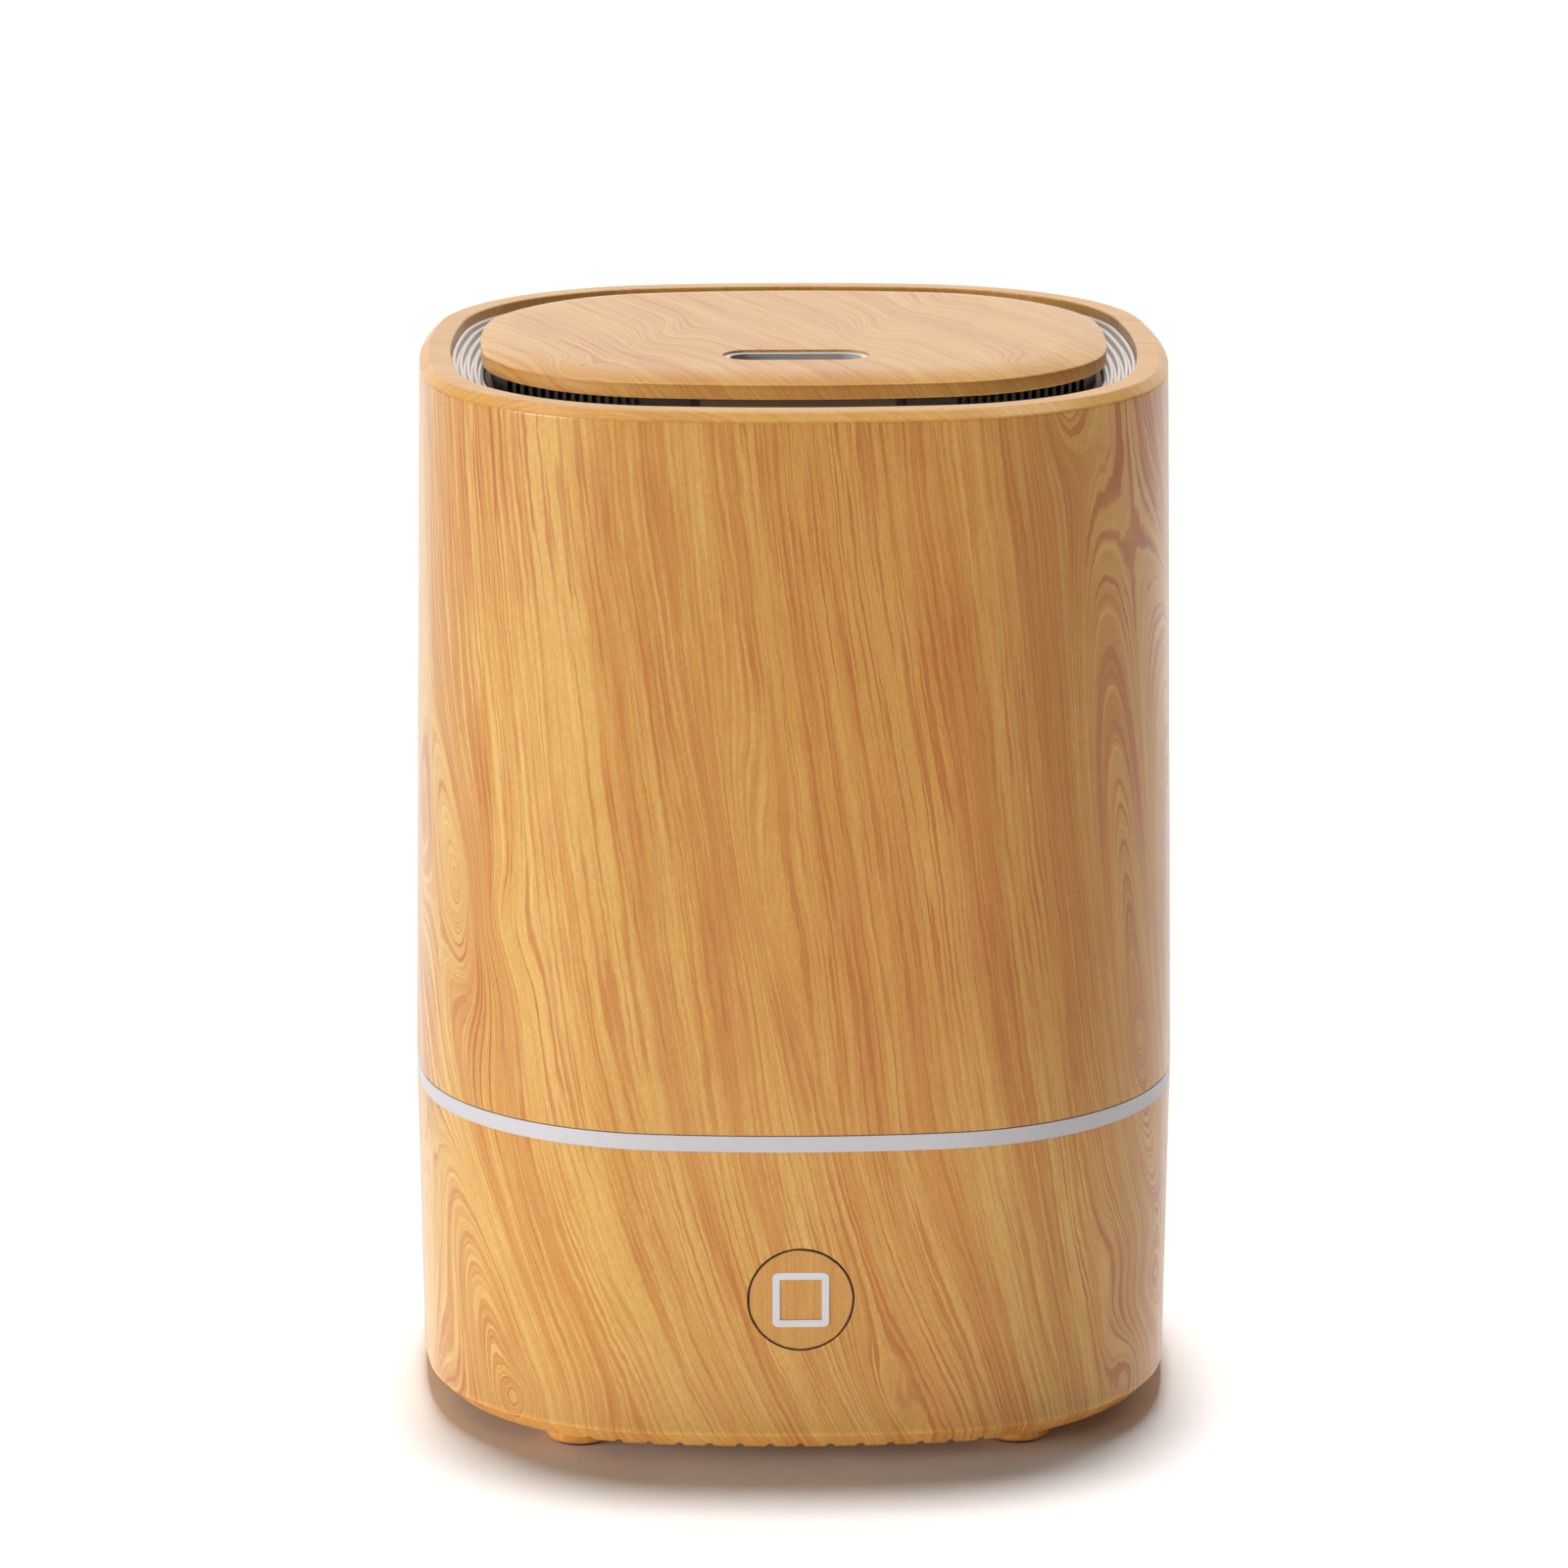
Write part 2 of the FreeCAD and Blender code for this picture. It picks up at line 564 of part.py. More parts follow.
pocket(b, s4, "3.2", "window_x", rev=True)
node(b, "duct_cap")

# ---------------------------------------------------------------- ultrasonic transducer
ga = cyl("tg_o", ("tr_x", "tr_y", "z_tank-0.8"), "tr_rad+1.2", "0.8")
node(cut("transducer_gasket", ga, cyl("tg_i", ("tr_x", "tr_y", "z_tank-1.8"), "tr_hole", "2.8")), "transducer_gasket")
td = cyl("td_o", ("tr_x", "tr_y", "z_tank-1.6"), "tr_rad", "0.8")
tp = cyl("td_p", ("tr_x", "tr_y", "z_tank-2.0"), "tr_rad-3.6", "0.5")
node(fuse("transducer_disc", td, tp), "transducer_disc")
ro = cyl("tr_o", ("tr_x", "tr_y", "z_tank-2.6"), "tr_rad+4.6", "1")
node(cut("transducer_retainer", ro, cyl("tr_i", ("tr_x", "tr_y", "z_tank-3.6"), "tr_rad-2", "3"),
         cyl("tr_h1", ("tr_x-12.4", "tr_y", "z_tank-3.6"), "1.15", "3"),
         cyl("tr_h2", ("tr_x+12.4", "tr_y", "z_tank-3.6"), "1.15", "3")), "transducer_retainer")
for nm, ex in (("left", "tr_x-12.4"), ("right", "tr_x+12.4")):
    node(fuse("retainer_screw_" + nm, cyl("rs_h_" + nm, (ex, "tr_y", "z_tank-3.8"), "2", "1.2"),
              cyl("rs_s_" + nm, (ex, "tr_y", "z_tank-2.6"), "0.85", "4")), "retainer_screw_" + nm)

# ---------------------------------------------------------------- fan
fo = box("fan_o", ("fan_x-fan_size/2", "fan_y-fan_size/2", "z_plate"), "fan_size", "fan_size", "fan_thick")
fb = cyl("fan_b", ("fan_x", "fan_y", "z_plate-1"), "fan_bore", "fan_thick+2")
fr = cut("fan_frame", fo, fb)
base_d = cyl("fan_d", ("fan_x", "fan_y", "z_plate"), "hub_rad-0.6", "1")
arm1 = box("fan_a1", ("fan_x-fan_bore-0.4", "fan_y-1", "z_plate"), "2*fan_bore+0.8", "2", "1")
arm2 = box("fan_a2", ("fan_x-1", "fan_y-fan_bore-0.4", "z_plate"), "2", "2*fan_bore+0.8", "1")
frame = fuse("fan_f", fr, base_d, arm1, arm2)
node(cut("fan_housing", frame,
         cyl("fan_h1", ("fan_x-16", "fan_y+16", "z_plate-1"), "1.6", "fan_thick+2"),
         cyl("fan_h2", ("fan_x+16", "fan_y-16", "z_plate-1"), "1.6", "fan_thick+2"),
         cyl("fan_h3", ("fan_x+16", "fan_y+16", "z_plate-1"), "1.6", "fan_thick+2"),
         cyl("fan_h4", ("fan_x-16", "fan_y-16", "z_plate-1"), "1.6", "fan_thick+2")), "fan_housing")
st = cyl("fs_o", ("fan_x", "fan_y", "z_plate+1"), "7.6", "6")
node(cut("fan_stator", st, cyl("fs_i", ("fan_x", "fan_y", "z_plate+1.6"), "1.05", "8")), "fan_stator")
hub = cut("hub_cup", cyl("hub_o", ("fan_x", "fan_y", "z_plate+1.5"), "hub_rad", "7.5"),
          cyl("hub_i", ("fan_x", "fan_y", "z_plate+0.5"), "hub_rad-1.4", "7.1"))
shaft = cyl("hub_s", ("fan_x", "fan_y", "z_plate+2"), "1.0", "6.5")
blades = []
for k in range(7):
    bl = doc.addObject("Part::Box", "blade_%d" % k)
    bl.Length, bl.Width, bl.Height = 9.0, 8.4, 1.1
    bl.setExpression("Length", X("fan_bore-hub_rad"))
    ang = 360.0 / 7 * k
    rot = FreeCAD.Rotation(V(0, 0, 1), ang).multiply(FreeCAD.Rotation(V(1, 0, 0), 38))
    off = rot.multVec(V(0, -4.2, -0.55))
    cen = FreeCAD.Rotation(V(0, 0, 1), ang).multVec(V(num("hub_rad") - 0.8, 0, 0))
    bl.Placement = FreeCAD.Placement(V(num("fan_x"), num("fan_y"), num("z_plate") + 5.2).add(cen).add(off), rot)
    blades.append(bl)
node(fuse("fan_impeller", hub, shaft, *blades), "fan_impeller")
for nm, ex, ey in (("left", "fan_x-16", "fan_y+16"), ("right", "fan_x+16", "fan_y-16")):
    node(fuse("fan_screw_" + nm, cyl("fc_h_" + nm, (ex, ey, "z_plate+fan_thick"), "2.6", "1.4"),
              cyl("fc_s_" + nm, (ex, ey, "z_plate-1.6"), "1.05", "fan_thick+1.6")), "fan_screw_" + nm)
# plenum: carries the fan's air up into the duct of the tank
pc = prim("Cone", "pl_o", ("fan_x", "fan_y", "z_plate+fan_thick"), "z", Radius1="fan_bore-0.2", Radius2="9.6", Height="18")
pt = cyl("pl_t", ("fan_x", "fan_y", "z_plate+fan_thick+18"), "9.6", "z_tank-z_plate-fan_thick-18")
pi_ = prim("Cone", "pl_i", ("fan_x", "fan_y", "z_plate+fan_thick-0.001"), "z", Radius1="fan_bore-1.6", Radius2="8.2", Height="18.001")
pj = cyl("pl_j", ("fan_x", "fan_y", "z_plate+fan_thick+17.999"), "8.2", "20")
node(cut("air_plenum", fuse("pl_body", pc, pt), fuse("pl_room", pi_, pj)), "air_plenum")

# ---------------------------------------------------------------- circuit board and what stands on it
pb = box("pcb_o", ("pcb_x-pcb_wid/2", "-pcb_len/2", "pcb_z"), "pcb_wid", "pcb_len", "pcb_thick")
node(cut("main_board", pb, cyl("pcb_h1", ("pcb_x-post_x", "-post_y", "pcb_z-1"), "1.5", "4"),
         cyl("pcb_h2", ("pcb_x+post_x", "post_y", "pcb_z-1"), "1.5", "4")), "main_board")
for nm, ex, ey in (("front", "pcb_x-post_x", "-post_y"), ("rear", "pcb_x+post_x", "post_y")):
    node(fuse("board_screw_" + nm, cyl("bc_h_" + nm, (ex, ey, "pcb_z+pcb_thick"), "2.3", "1.3"),
              cyl("bc_s_" + nm, (ex, ey, "pcb_z-3"), "0.85", "3+pcb_thick")), "board_screw_" + nm)
node(cyl("capacitor", ("36", "12", "pcb_z+pcb_thick"), "4", "11"), "capacitor")
node(box("control_chip", ("12", "-20", "pcb_z+pcb_thick"), "9", "6.5", "1.7"), "control_chip")
io = cyl("in_o", ("16", "14", "pcb_z+pcb_thick"), "5.5", "6.5")
ig = cut("in_groove", cyl("in_g", ("16", "14", "pcb_z+pcb_thick+1.4"), "7", "3.7"), cyl("in_c", ("16", "14", "pcb_z"), "3.4", "12"))
node(cut("inductor", io, ig), "inductor")
hs = box("hs_o", ("24", "-24", "pcb_z+pcb_thick"), "14", "12", "16")
fins = [box("hs_f%d" % k, ("25.6+%g" % (k * 2.6), "-21.6", "pcb_z+pcb_thick-1"), "1.4", "12", "20") for k in range(5)]
node(cut("heatsink", hs, *fins), "heatsink")
node(box("power_transistor", ("26", "-28.6", "pcb_z+pcb_thick"), "10", "4.6", "12"), "power_transistor")

# ---------------------------------------------------------------- power inlet
jb = box("jk_o", ("-5.5", "jack_face-11", "jack_z-5.5"), "11", "11", "11")
node(cut("power_jack", jb, cyl("jk_b", ("0", "jack_face-9.5", "jack_z"), "jack_bore", "12", "y")), "power_jack")
node(cyl("jack_pin", ("0", "jack_face-9.5", "jack_z"), "jack_pin", "8.7", "y"), "jack_pin")
node(box("jack_board", ("-7", "40", "jack_z-5.5-1.6"), "14", "13.4", "1.6"), "jack_board")

# ---------------------------------------------------------------- switch behind the button
node(cut("switch_board", box("sb_o", ("-17", "-47.8", "btn_z-7"), "34", "1.6", "14"),
         cyl("sb_h1", ("-14", "-49", "btn_z"), "1.0", "5", "y"),
         cyl("sb_h2", ("14", "-49", "btn_z"), "1.0", "5", "y")), "switch_board")
for nm, ex in (("left", "-14"), ("right", "14")):
    node(fuse("switch_screw_" + nm, cyl("ss_h_" + nm, (ex, "-46.2", "btn_z"), "1.9", "1.2", "y"),
              cyl("ss_s_" + nm, (ex, "-51.4", "btn_z"), "0.75", "5.2", "y")), "switch_screw_" + nm)
node(cut("tact_switch", box("ts_o", ("-3", "-51.4", "btn_z-3"), "6", "3.6", "6"),
         cyl("ts_b", ("0", "-52", "btn_z"), "1.85", "2.6", "y")), "tact_switch")

# ---------------------------------------------------------------- button (moves in +Y)
# the face follows the wall of the base shell, so it is cut from the same outline
env = make_body("button_envelope")
e1 = sketch(env, "s1", z="z_bevel"); sq(e1, "o", "w_bevel")
e2 = sketch(env, "s2", z="z_ring_lo"); sq(e2, "o", "w_ring")
loft(env, e1, e2, "wall")
face = doc.addObject("Part::Common", "button_face")
face.Base = cyl("bc_o", ("0", "-62", "btn_z"), "btn_rad", "6.4", "y")
face.Tool = env
flange = cyl("bc_f", ("0", "-55.6", "btn_z"), "btn_flange", "1.2", "y")
stem = cyl("bc_st", ("0", "-54.4", "btn_z"), "1.8", "1.85", "y")
blank = fuse("button_blank", face, flange, stem)
ib = make_body("button_icon")
k1 = sketch(ib, "s1", "XZ_Plane", z="59.74")
box2(k1, "o", "-icon_out/2", "btn_z-icon_out/2", "icon_out", "icon_out")
pad(ib, k1, "0.9", "plate", rev=True)
doc.recompute()
pl = ib.Tip
fl = ib.newObject("PartDesign::Fillet", "button_icon_round")
ids = ["Edge%d" % (k + 1) for k, e in enumerate(pl.Shape.Edges)
       if abs(e.Vertexes[0].Point.y - e.Vertexes[-1].Point.y) > 0.5]
fl.Base = (pl, ids)
fl.Radius = 0.9
ib.Tip = fl
k2 = sketch(ib, "s2", "XZ_Plane", z="60.5")
box2(k2, "i", "-icon_in/2", "btn_z-icon_in/2", "icon_in", "icon_in")
pocket(ib, k2, "3", "window")
cap = cut("button_cap", blank, ib)
node(cap, "button_cap")
node(ib, "button_icon")
node(cyl("switch_plunger", ("0", "-52.55", "btn_z"), "1.75", "2.15", "y"), "switch_plunger")

# ---------------------------------------------------------------- upper cover (lifts off)
b = make_body("upper_cover")
s1 = sketch(b, "s1", z="z_cover_lo"); sq(s1, "o", "w_ring")
s2 = sketch(b, "s2", z="z_rim-rim_ch"); sq(s2, "o", "w_rim")
loft(b, s1, s2, "wall")
s3 = sketch(b, "s3", z="z_rim-rim_ch"); sq(s3, "o", "w_rim")
s4 = sketch(b, "s4", z="z_rim"); sq(s4, "o", "w_rim-rim_ch")
loft(b, s3, s4, "rim")
s5 = sketch(b, "s5", z="z_cover_lo"); sq(s5, "i", "w_cov_in")
s6 = sketch(b, "s6", z="z_cov_in"); sq(s6, "i", "w_cov_in_hi")
loft(b, s5, s6, "room", sub=True)
s7 = sketch(b, "s7", z="z_rim"); sq(s7, "i", "w_open")
pocket(b, s7, "z_rim-z_cov_in+1", "opening")
node(b, "upper_cover")

# ribbed recess: five ribs that step down towards the vent collar, then a floor with the mist port
b = make_body("recess_trim")
nrib = 5
for k in range(nrib):
    sk = sketch(b, "rib%d" % k, z="z_trim_low")
    sq(sk, "o", "w_open-trim_fit-%g*rib_pitch" % k)
    pad(b, sk, "z_rib-%g*rib_drop-z_trim_low" % k, "rib_%d" % k)
    if k == nrib - 1:
        break
    sk = sketch(b, "well%d" % k, z="z_rib+1")
    sq(sk, "i", "w_open-trim_fit-%g*rib_pitch" % (k + 0.62))
    pocket(b, sk, "%g*rib_drop+1.2+1" % k, "valley_%d" % k)
sk = sketch(b, "floor", z="z_rib+1"); sq(sk, "i", "w_open-trim_fit-%g*rib_pitch" % (nrib - 0.38))
pocket(b, sk, "z_rib+1-z_trim_floor", "basin")
sk = sketch(b, "port", z="z_rib+1"); stadium(sk, "p", "slot_y", "duct_len/2-duct_wid/2", "duct_wid/2-duct_wall")
pocket(b, sk, "10", "port")
node(b, "recess_trim")

# slatted vent collar that the lid rests on: straight slots cut through the outer skin,
# a plain panel with two gaps in the middle, and an inner ring that backs the slots
b = make_body("vent_collar")
s1 = sketch(b, "s1", z="z_trim_floor")
oval(s1, "o", "collar_off")
oval(s1, "i", "collar_in")
pad(b, s1, "z_collar_hi-z_trim_floor", "skin")
s2 = sketch(b, "s2", z="z_collar_hi")
for k in range(16):
    box2(s2, "r%d" % k, "panel_half+%g*slat_pitch" % k, "-50", "slat_gap", "100")
    box2(s2, "l%d" % k, "-panel_half-slat_gap-%g*slat_pitch" % k, "-50", "slat_gap", "100")
box2(s2, "gr", "panel_gap_x-panel_gap_w/2", "-50", "panel_gap_w", "100")
box2(s2, "gl", "-panel_gap_x-panel_gap_w/2", "-50", "panel_gap_w", "100")
pocket(b, s2, "z_collar_hi-z_trim_floor-0.5", "slots")
s3 = sketch(b, "s3", z="z_trim_floor")
oval(s3, "o", "collar_back")
oval(s3, "i", "collar_inner")
pad(b, s3, "z_collar_hi-z_trim_floor", "backing")
node(b, "vent_collar")

# mist duct under the recess
b = make_body("mist_duct")
s1 = sketch(b, "s1", z="z_duct_lo"); stadium(s1, "o", "slot_y", "duct_len/2-duct_wid/2", "duct_wid/2")
pad(b, s1, "z_trim_low-z_duct_lo", "tube")
s2 = sketch(b, "s2", z="z_trim_low"); stadium(s2, "f", "slot_y", "duct_len/2-duct_wid/2", "duct_wid/2+4")
pad(b, s2, "1.4", "flange", rev=True)
s3 = sketch(b, "s3", z="z_trim_low"); stadium(s3, "i", "slot_y", "duct_len/2-duct_wid/2", "duct_wid/2-duct_wall")
pocket(b, s3, "z_trim_low-z_duct_lo", "bore")
node(b, "mist_duct")

# ---------------------------------------------------------------- lid (lifts off)
b = make_body("lid_blank")
s1 = sketch(b, "s1", z="z_lid_lo"); oval(s1, "o", "0")
pad(b, s1, "z_lid_top-z_lid_lo+0.5", "disc")
s2 = sketch(b, "s2", z="z_lid_top+1"); stadium(s2, "h", "slot_y", "slot_len/2-slot_wid/2", "slot_wid/2")
pocket(b, s2, "6", "slot")
ball = prim("Sphere", "lid_crown", ("0", "0", "z_lid_top-crown_rad"), Radius="crown_rad")
crown = doc.addObject("Part::Common", "lid_crowned")
crown.Base = b
crown.Tool = ball
doc.recompute()
lid = doc.addObject("Part::Fillet", "mist_lid")
lid.Base = crown
sel = []
for k, e in enumerate(crown.Shape.Edges):
    c = e.CenterOfMass
    if abs(c.z - num("z_lid_lo")) < 0.01 and math.hypot(c.x, c.y) > 35:
        sel.append((k + 1, 0.3, 0.3))
    elif c.z > num("z_lid_lo") + 1.9 and math.hypot(c.x, c.y) > 35 and e.BoundBox.ZLength < 1.0:
        sel.append((k + 1, 0.4, 0.4))
lid.Edges = sel
node(lid, "mist_lid")

b = make_body("slot_liner")
s1 = sketch(b, "s1", z="z_lid_lo-2.1"); stadium(s1, "o", "slot_y", "slot_len/2-slot_wid/2", "slot_wid/2")
pad(b, s1, "z_liner_hi-z_lid_lo+2.1", "wall")
s2 = sketch(b, "s2", z="z_liner_hi"); stadium(s2, "i", "slot_y", "slot_len/2-slot_wid/2", "slot_wid/2-slot_wall")
pocket(b, s2, "z_liner_hi-z_lid_lo+2.1", "bore")
node(b, "slot_liner")

b = make_body("lid_insert")
s1 = sketch(b, "s1", z="z_lid_lo-2.3"); oval(s1, "o", "insert_off")
pad(b, s1, "2.3", "block")
s2 = sketch(b, "s2", z="z_lid_lo-2.3"); oval(s2, "i", "insert_in")
pocket(b, s2, "1.1", "hollow", rev=True)
s3 = sketch(b, "s3", z="z_lid_lo"); stadium(s3, "h", "slot_y", "slot_len/2-slot_wid/2", "slot_wid/2")
pocket(b, s3, "4", "slot")
node(b, "lid_insert")

b = make_body("lid_gasket")
s1 = sketch(b, "s1", z="z_lid_lo"); oval(s1, "o", "gasket_out"); oval(s1, "i", "gasket_in")
pad(b, s1, "0.18", "ring", rev=True)
node(b, "lid_gasket")

# ---------------------------------------------------------------- checks, then one STEP per sub-part
doc.recompute()
bad = []
for o in doc.Objects:
    st = [str(q) for q in o.State]
    if "Invalid" in st or "Error" in st:
        bad.append("%s: %s" % (o.Name, st))
for o in doc.Objects:
    if o.TypeId == "Sketcher::SketchObject":
        n = o.solve()
        if n != 0:
            bad.append("%s: sketch does not solve (%s)" % (o.Name, n))
        elif not o.FullyConstrained:
            bad.append("%s: sketch is not fully constrained" % o.Name)
names = set()
for o in NODES:
    sh = o.Shape
    if sh.isNull() or not sh.isValid():
        bad.append("%s: null or invalid" % o.Label)
    elif len(sh.Solids) != 1:
        bad.append("%s: %d solids" % (o.Label, len(sh.Solids)))
    if o.Label in names:
        bad.append("label used twice: " + o.Label)
    names.add(o.Label)
if bad:
    raise RuntimeError("; ".join(bad))
for o in NODES:
    solid = o.Shape.Solids[0]
    solid.exportStep("parts/%s.step" % o.Label)
    bb = solid.BoundBox
    print("%-26s %9.1f mm3  x %.2f %.2f  y %.2f %.2f  z %.2f %.2f" % (
        o.Label, solid.Volume, bb.XMin, bb.XMax, bb.YMin, bb.YMax, bb.ZMin, bb.ZMax))
print(len(NODES), "sub-parts")
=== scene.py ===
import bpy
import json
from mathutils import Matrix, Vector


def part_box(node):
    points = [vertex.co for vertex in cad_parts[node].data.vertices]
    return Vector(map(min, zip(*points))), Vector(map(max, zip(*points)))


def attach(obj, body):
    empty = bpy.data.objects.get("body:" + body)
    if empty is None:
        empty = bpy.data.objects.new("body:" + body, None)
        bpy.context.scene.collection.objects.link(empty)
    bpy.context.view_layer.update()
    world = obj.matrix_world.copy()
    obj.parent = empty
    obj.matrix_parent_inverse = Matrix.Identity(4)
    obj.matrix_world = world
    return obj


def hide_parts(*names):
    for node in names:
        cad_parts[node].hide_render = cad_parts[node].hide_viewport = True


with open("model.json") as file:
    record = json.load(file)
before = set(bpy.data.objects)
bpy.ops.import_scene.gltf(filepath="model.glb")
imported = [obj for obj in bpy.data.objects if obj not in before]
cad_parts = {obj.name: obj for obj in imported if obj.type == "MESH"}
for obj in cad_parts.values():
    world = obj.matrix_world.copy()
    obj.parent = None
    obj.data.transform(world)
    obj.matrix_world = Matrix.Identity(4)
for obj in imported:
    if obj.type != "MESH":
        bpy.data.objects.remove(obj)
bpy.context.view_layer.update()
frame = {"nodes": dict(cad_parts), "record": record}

import json
import math
import bmesh
import bpy
import numpy as np
from mathutils import Matrix, Vector

MM = 0.001
NODES = frame["nodes"]


def mmbox(node):
    lo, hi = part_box(node)
    return [c / MM for c in lo], [c / MM for c in hi]


# ------------------------------------------------------------------ plan curves
class Plan:
    """Rounded-square outline of eight tangent arcs, in mm; ring(d) is the outline grown by d."""

    def __init__(self, a, b, kx, ky, rc, side=22, corner=26):
        cx, cy = a - rc, b - rc
        for _ in range(60):
            d1, d2 = math.hypot(cx + kx, cy), math.hypot(cx, cy + ky)
            f1, f2 = d1 - (kx + a - rc), d2 - (ky + b - rc)
            j = np.array([[(cx + kx) / d1, cy / d1], [cx / d2, (cy + ky) / d2]])
            s = np.linalg.solve(j, [f1, f2])
            cx, cy = cx - s[0], cy - s[1]
        t1, t2, pi = math.atan2(cy, cx + kx), math.atan2(cy + ky, cx), math.pi
        arcs = [(-kx, 0, kx + a, -t1, t1, side), (cx, cy, rc, t1, t2, corner),
                (0, -ky, ky + b, t2, pi - t2, side), (-cx, cy, rc, pi - t2, pi - t1, corner),
                (kx, 0, kx + a, pi - t1, pi + t1, side), (-cx, -cy, rc, pi + t1, pi + t2, corner),
                (0, ky, ky + b, pi + t2, 2 * pi - t2, side), (cx, -cy, rc, 2 * pi - t2, 2 * pi - t1, corner)]
        cen, rad, ang = [], [], []
        for x, y, r, s, e, n in arcs:
            for k in range(n):
                cen.append((x, y))
                rad.append(r)
                ang.append(s + (e - s) * k / n)
        self.cen, self.rad, self.ang = np.array(cen), np.array(rad), np.array(ang)
        self.n = len(ang)
        self.dir = np.stack([np.cos(self.ang), np.sin(self.ang)], 1)

    def ring(self, d, scale=1.0):
        return (self.cen + (self.rad + d)[:, None] * self.dir) * scale


BODY = Plan(60.0, 60.0, 110.14, 110.14, 41.71)
LID = Plan(48.8, 41.3, 78.89, 94.95, 31.1)


def rounded(points, seg=4):
    """Profile points (d, z, radius) with each corner rounded to its radius."""
    out, n = [], len(points)
    for i, (x, z, r) in enumerate(points):
        p = np.array([x, z])
        if r <= 0:
            out.append((x, z))
            continue
        u = np.array(points[i - 1][:2]) - p
        v = np.array(points[(i + 1) % n][:2]) - p
        lu, lv = np.linalg.norm(u), np.linalg.norm(v)
        u, v = u / lu, v / lv
        half = math.acos(max(-1, min(1, u @ v))) / 2
        cut = min(r / math.tan(half), lu * 0.48, lv * 0.48)
        r = cut * math.tan(half)
        c = p + (u + v) / np.linalg.norm(u + v) * (r / math.sin(half))
        a, b = p + u * cut - c, p + v * cut - c
        t0 = math.atan2(a[1], a[0])
        dt = (math.atan2(b[1], b[0]) - t0 + math.pi) % (2 * math.pi) - math.pi
        for k in range(seg + 1):
            t = t0 + dt * k / seg
            out.append((c[0] + r * math.cos(t), c[1] + r * math.sin(t)))
    return out


def finish_mesh(bm, name, sharp=38.0, mats=()):
    bmesh.ops.recalc_face_normals(bm, faces=bm.faces)
    me = bpy.data.meshes.new(name)
    bm.to_mesh(me)
    bm.free()
    for p in me.polygons:
        p.use_smooth = True
    me.set_sharp_from_angle(angle=math.radians(sharp))
    ob = bpy.data.objects.new(name, me)
    bpy.context.scene.collection.objects.link(ob)
    for m in mats:
        me.materials.append(m)
    return ob


def weighted(ob):
    w = ob.modifiers.new("weighted", "WEIGHTED_NORMAL")
    w.keep_sharp = True
    w.mode = "FACE_AREA"
    return ob


def sweep(name, plan, profile, mats=(), index=None, sharp=38.0):
    """Closed profile of (d, z) carried round the plan. index(d0, z0, d1, z1) gives a strip's material."""
    bm = bmesh.new()
    rows = []
    for d, z in profile:
        rows.append([bm.verts.new((x * MM, y * MM, z * MM)) for x, y in plan.ring(d)])
    m = len(rows)
    for i in range(m):
        a, b = rows[i], rows[(i + 1) % m]
        for j in range(plan.n):
            k = (j + 1) % plan.n
            f = bm.faces.new((a[j], a[k], b[k], b[j]))
            if index:
                f.material_index = index(*profile[i], *profile[(i + 1) % m])
    return weighted(finish_mesh(bm, name, sharp, mats))


def stadium_points(cy, half, r, n=20):
    pts = []
    for k in range(n + 1):
        t = -math.pi / 2 + math.pi * k / n
        pts.append((half + r * math.cos(t), cy + r * math.sin(t)))
    for k in range(n + 1):
        t = math.pi / 2 + math.pi * k / n
        pts.append((-half + r * math.cos(t), cy + r * math.sin(t)))
    return pts


def prism(name, pts, z0, z1):
    bm = bmesh.new()
    lo = [bm.verts.new((x * MM, y * MM, z0 * MM)) for x, y in pts]
    hi = [bm.verts.new((x * MM, y * MM, z1 * MM)) for x, y in pts]
    bm.faces.new(lo[::-1])
    bm.faces.new(hi)
    for i in range(len(pts)):
        k = (i + 1) % len(pts)
        bm.faces.new((lo[i], lo[k], hi[k], hi[i]))
    return finish_mesh(bm, name)


def boolean(ob, tool, op="DIFFERENCE"):
    """Applies a boolean and removes the tool."""
    md = ob.modifiers.new("cut", "BOOLEAN")
    md.operation = op
    md.object = tool
    md.solver = "EXACT"
    others = [q for q in ob.modifiers if q.name != "cut"]
    for q in others:
        q.show_viewport = q.show_render = False
    dg = bpy.context.evaluated_depsgraph_get()
    dg.update()
    me = bpy.data.meshes.new_from_object(ob.evaluated_get(dg), depsgraph=dg)
    ob.modifiers.remove(md)
    for q in others:
        q.show_viewport = q.show_render = True
    ob.data = me
    bpy.data.objects.remove(tool)
    return ob


# ------------------------------------------------------------------ node helpers
def lin(r, g, b, a=1.0):
    def f(c):
        c = c / 255.0
        return c / 12.92 if c <= 0.04045 else ((c + 0.055) / 1.055) ** 2.4
    return (f(r), f(g), f(b), a)


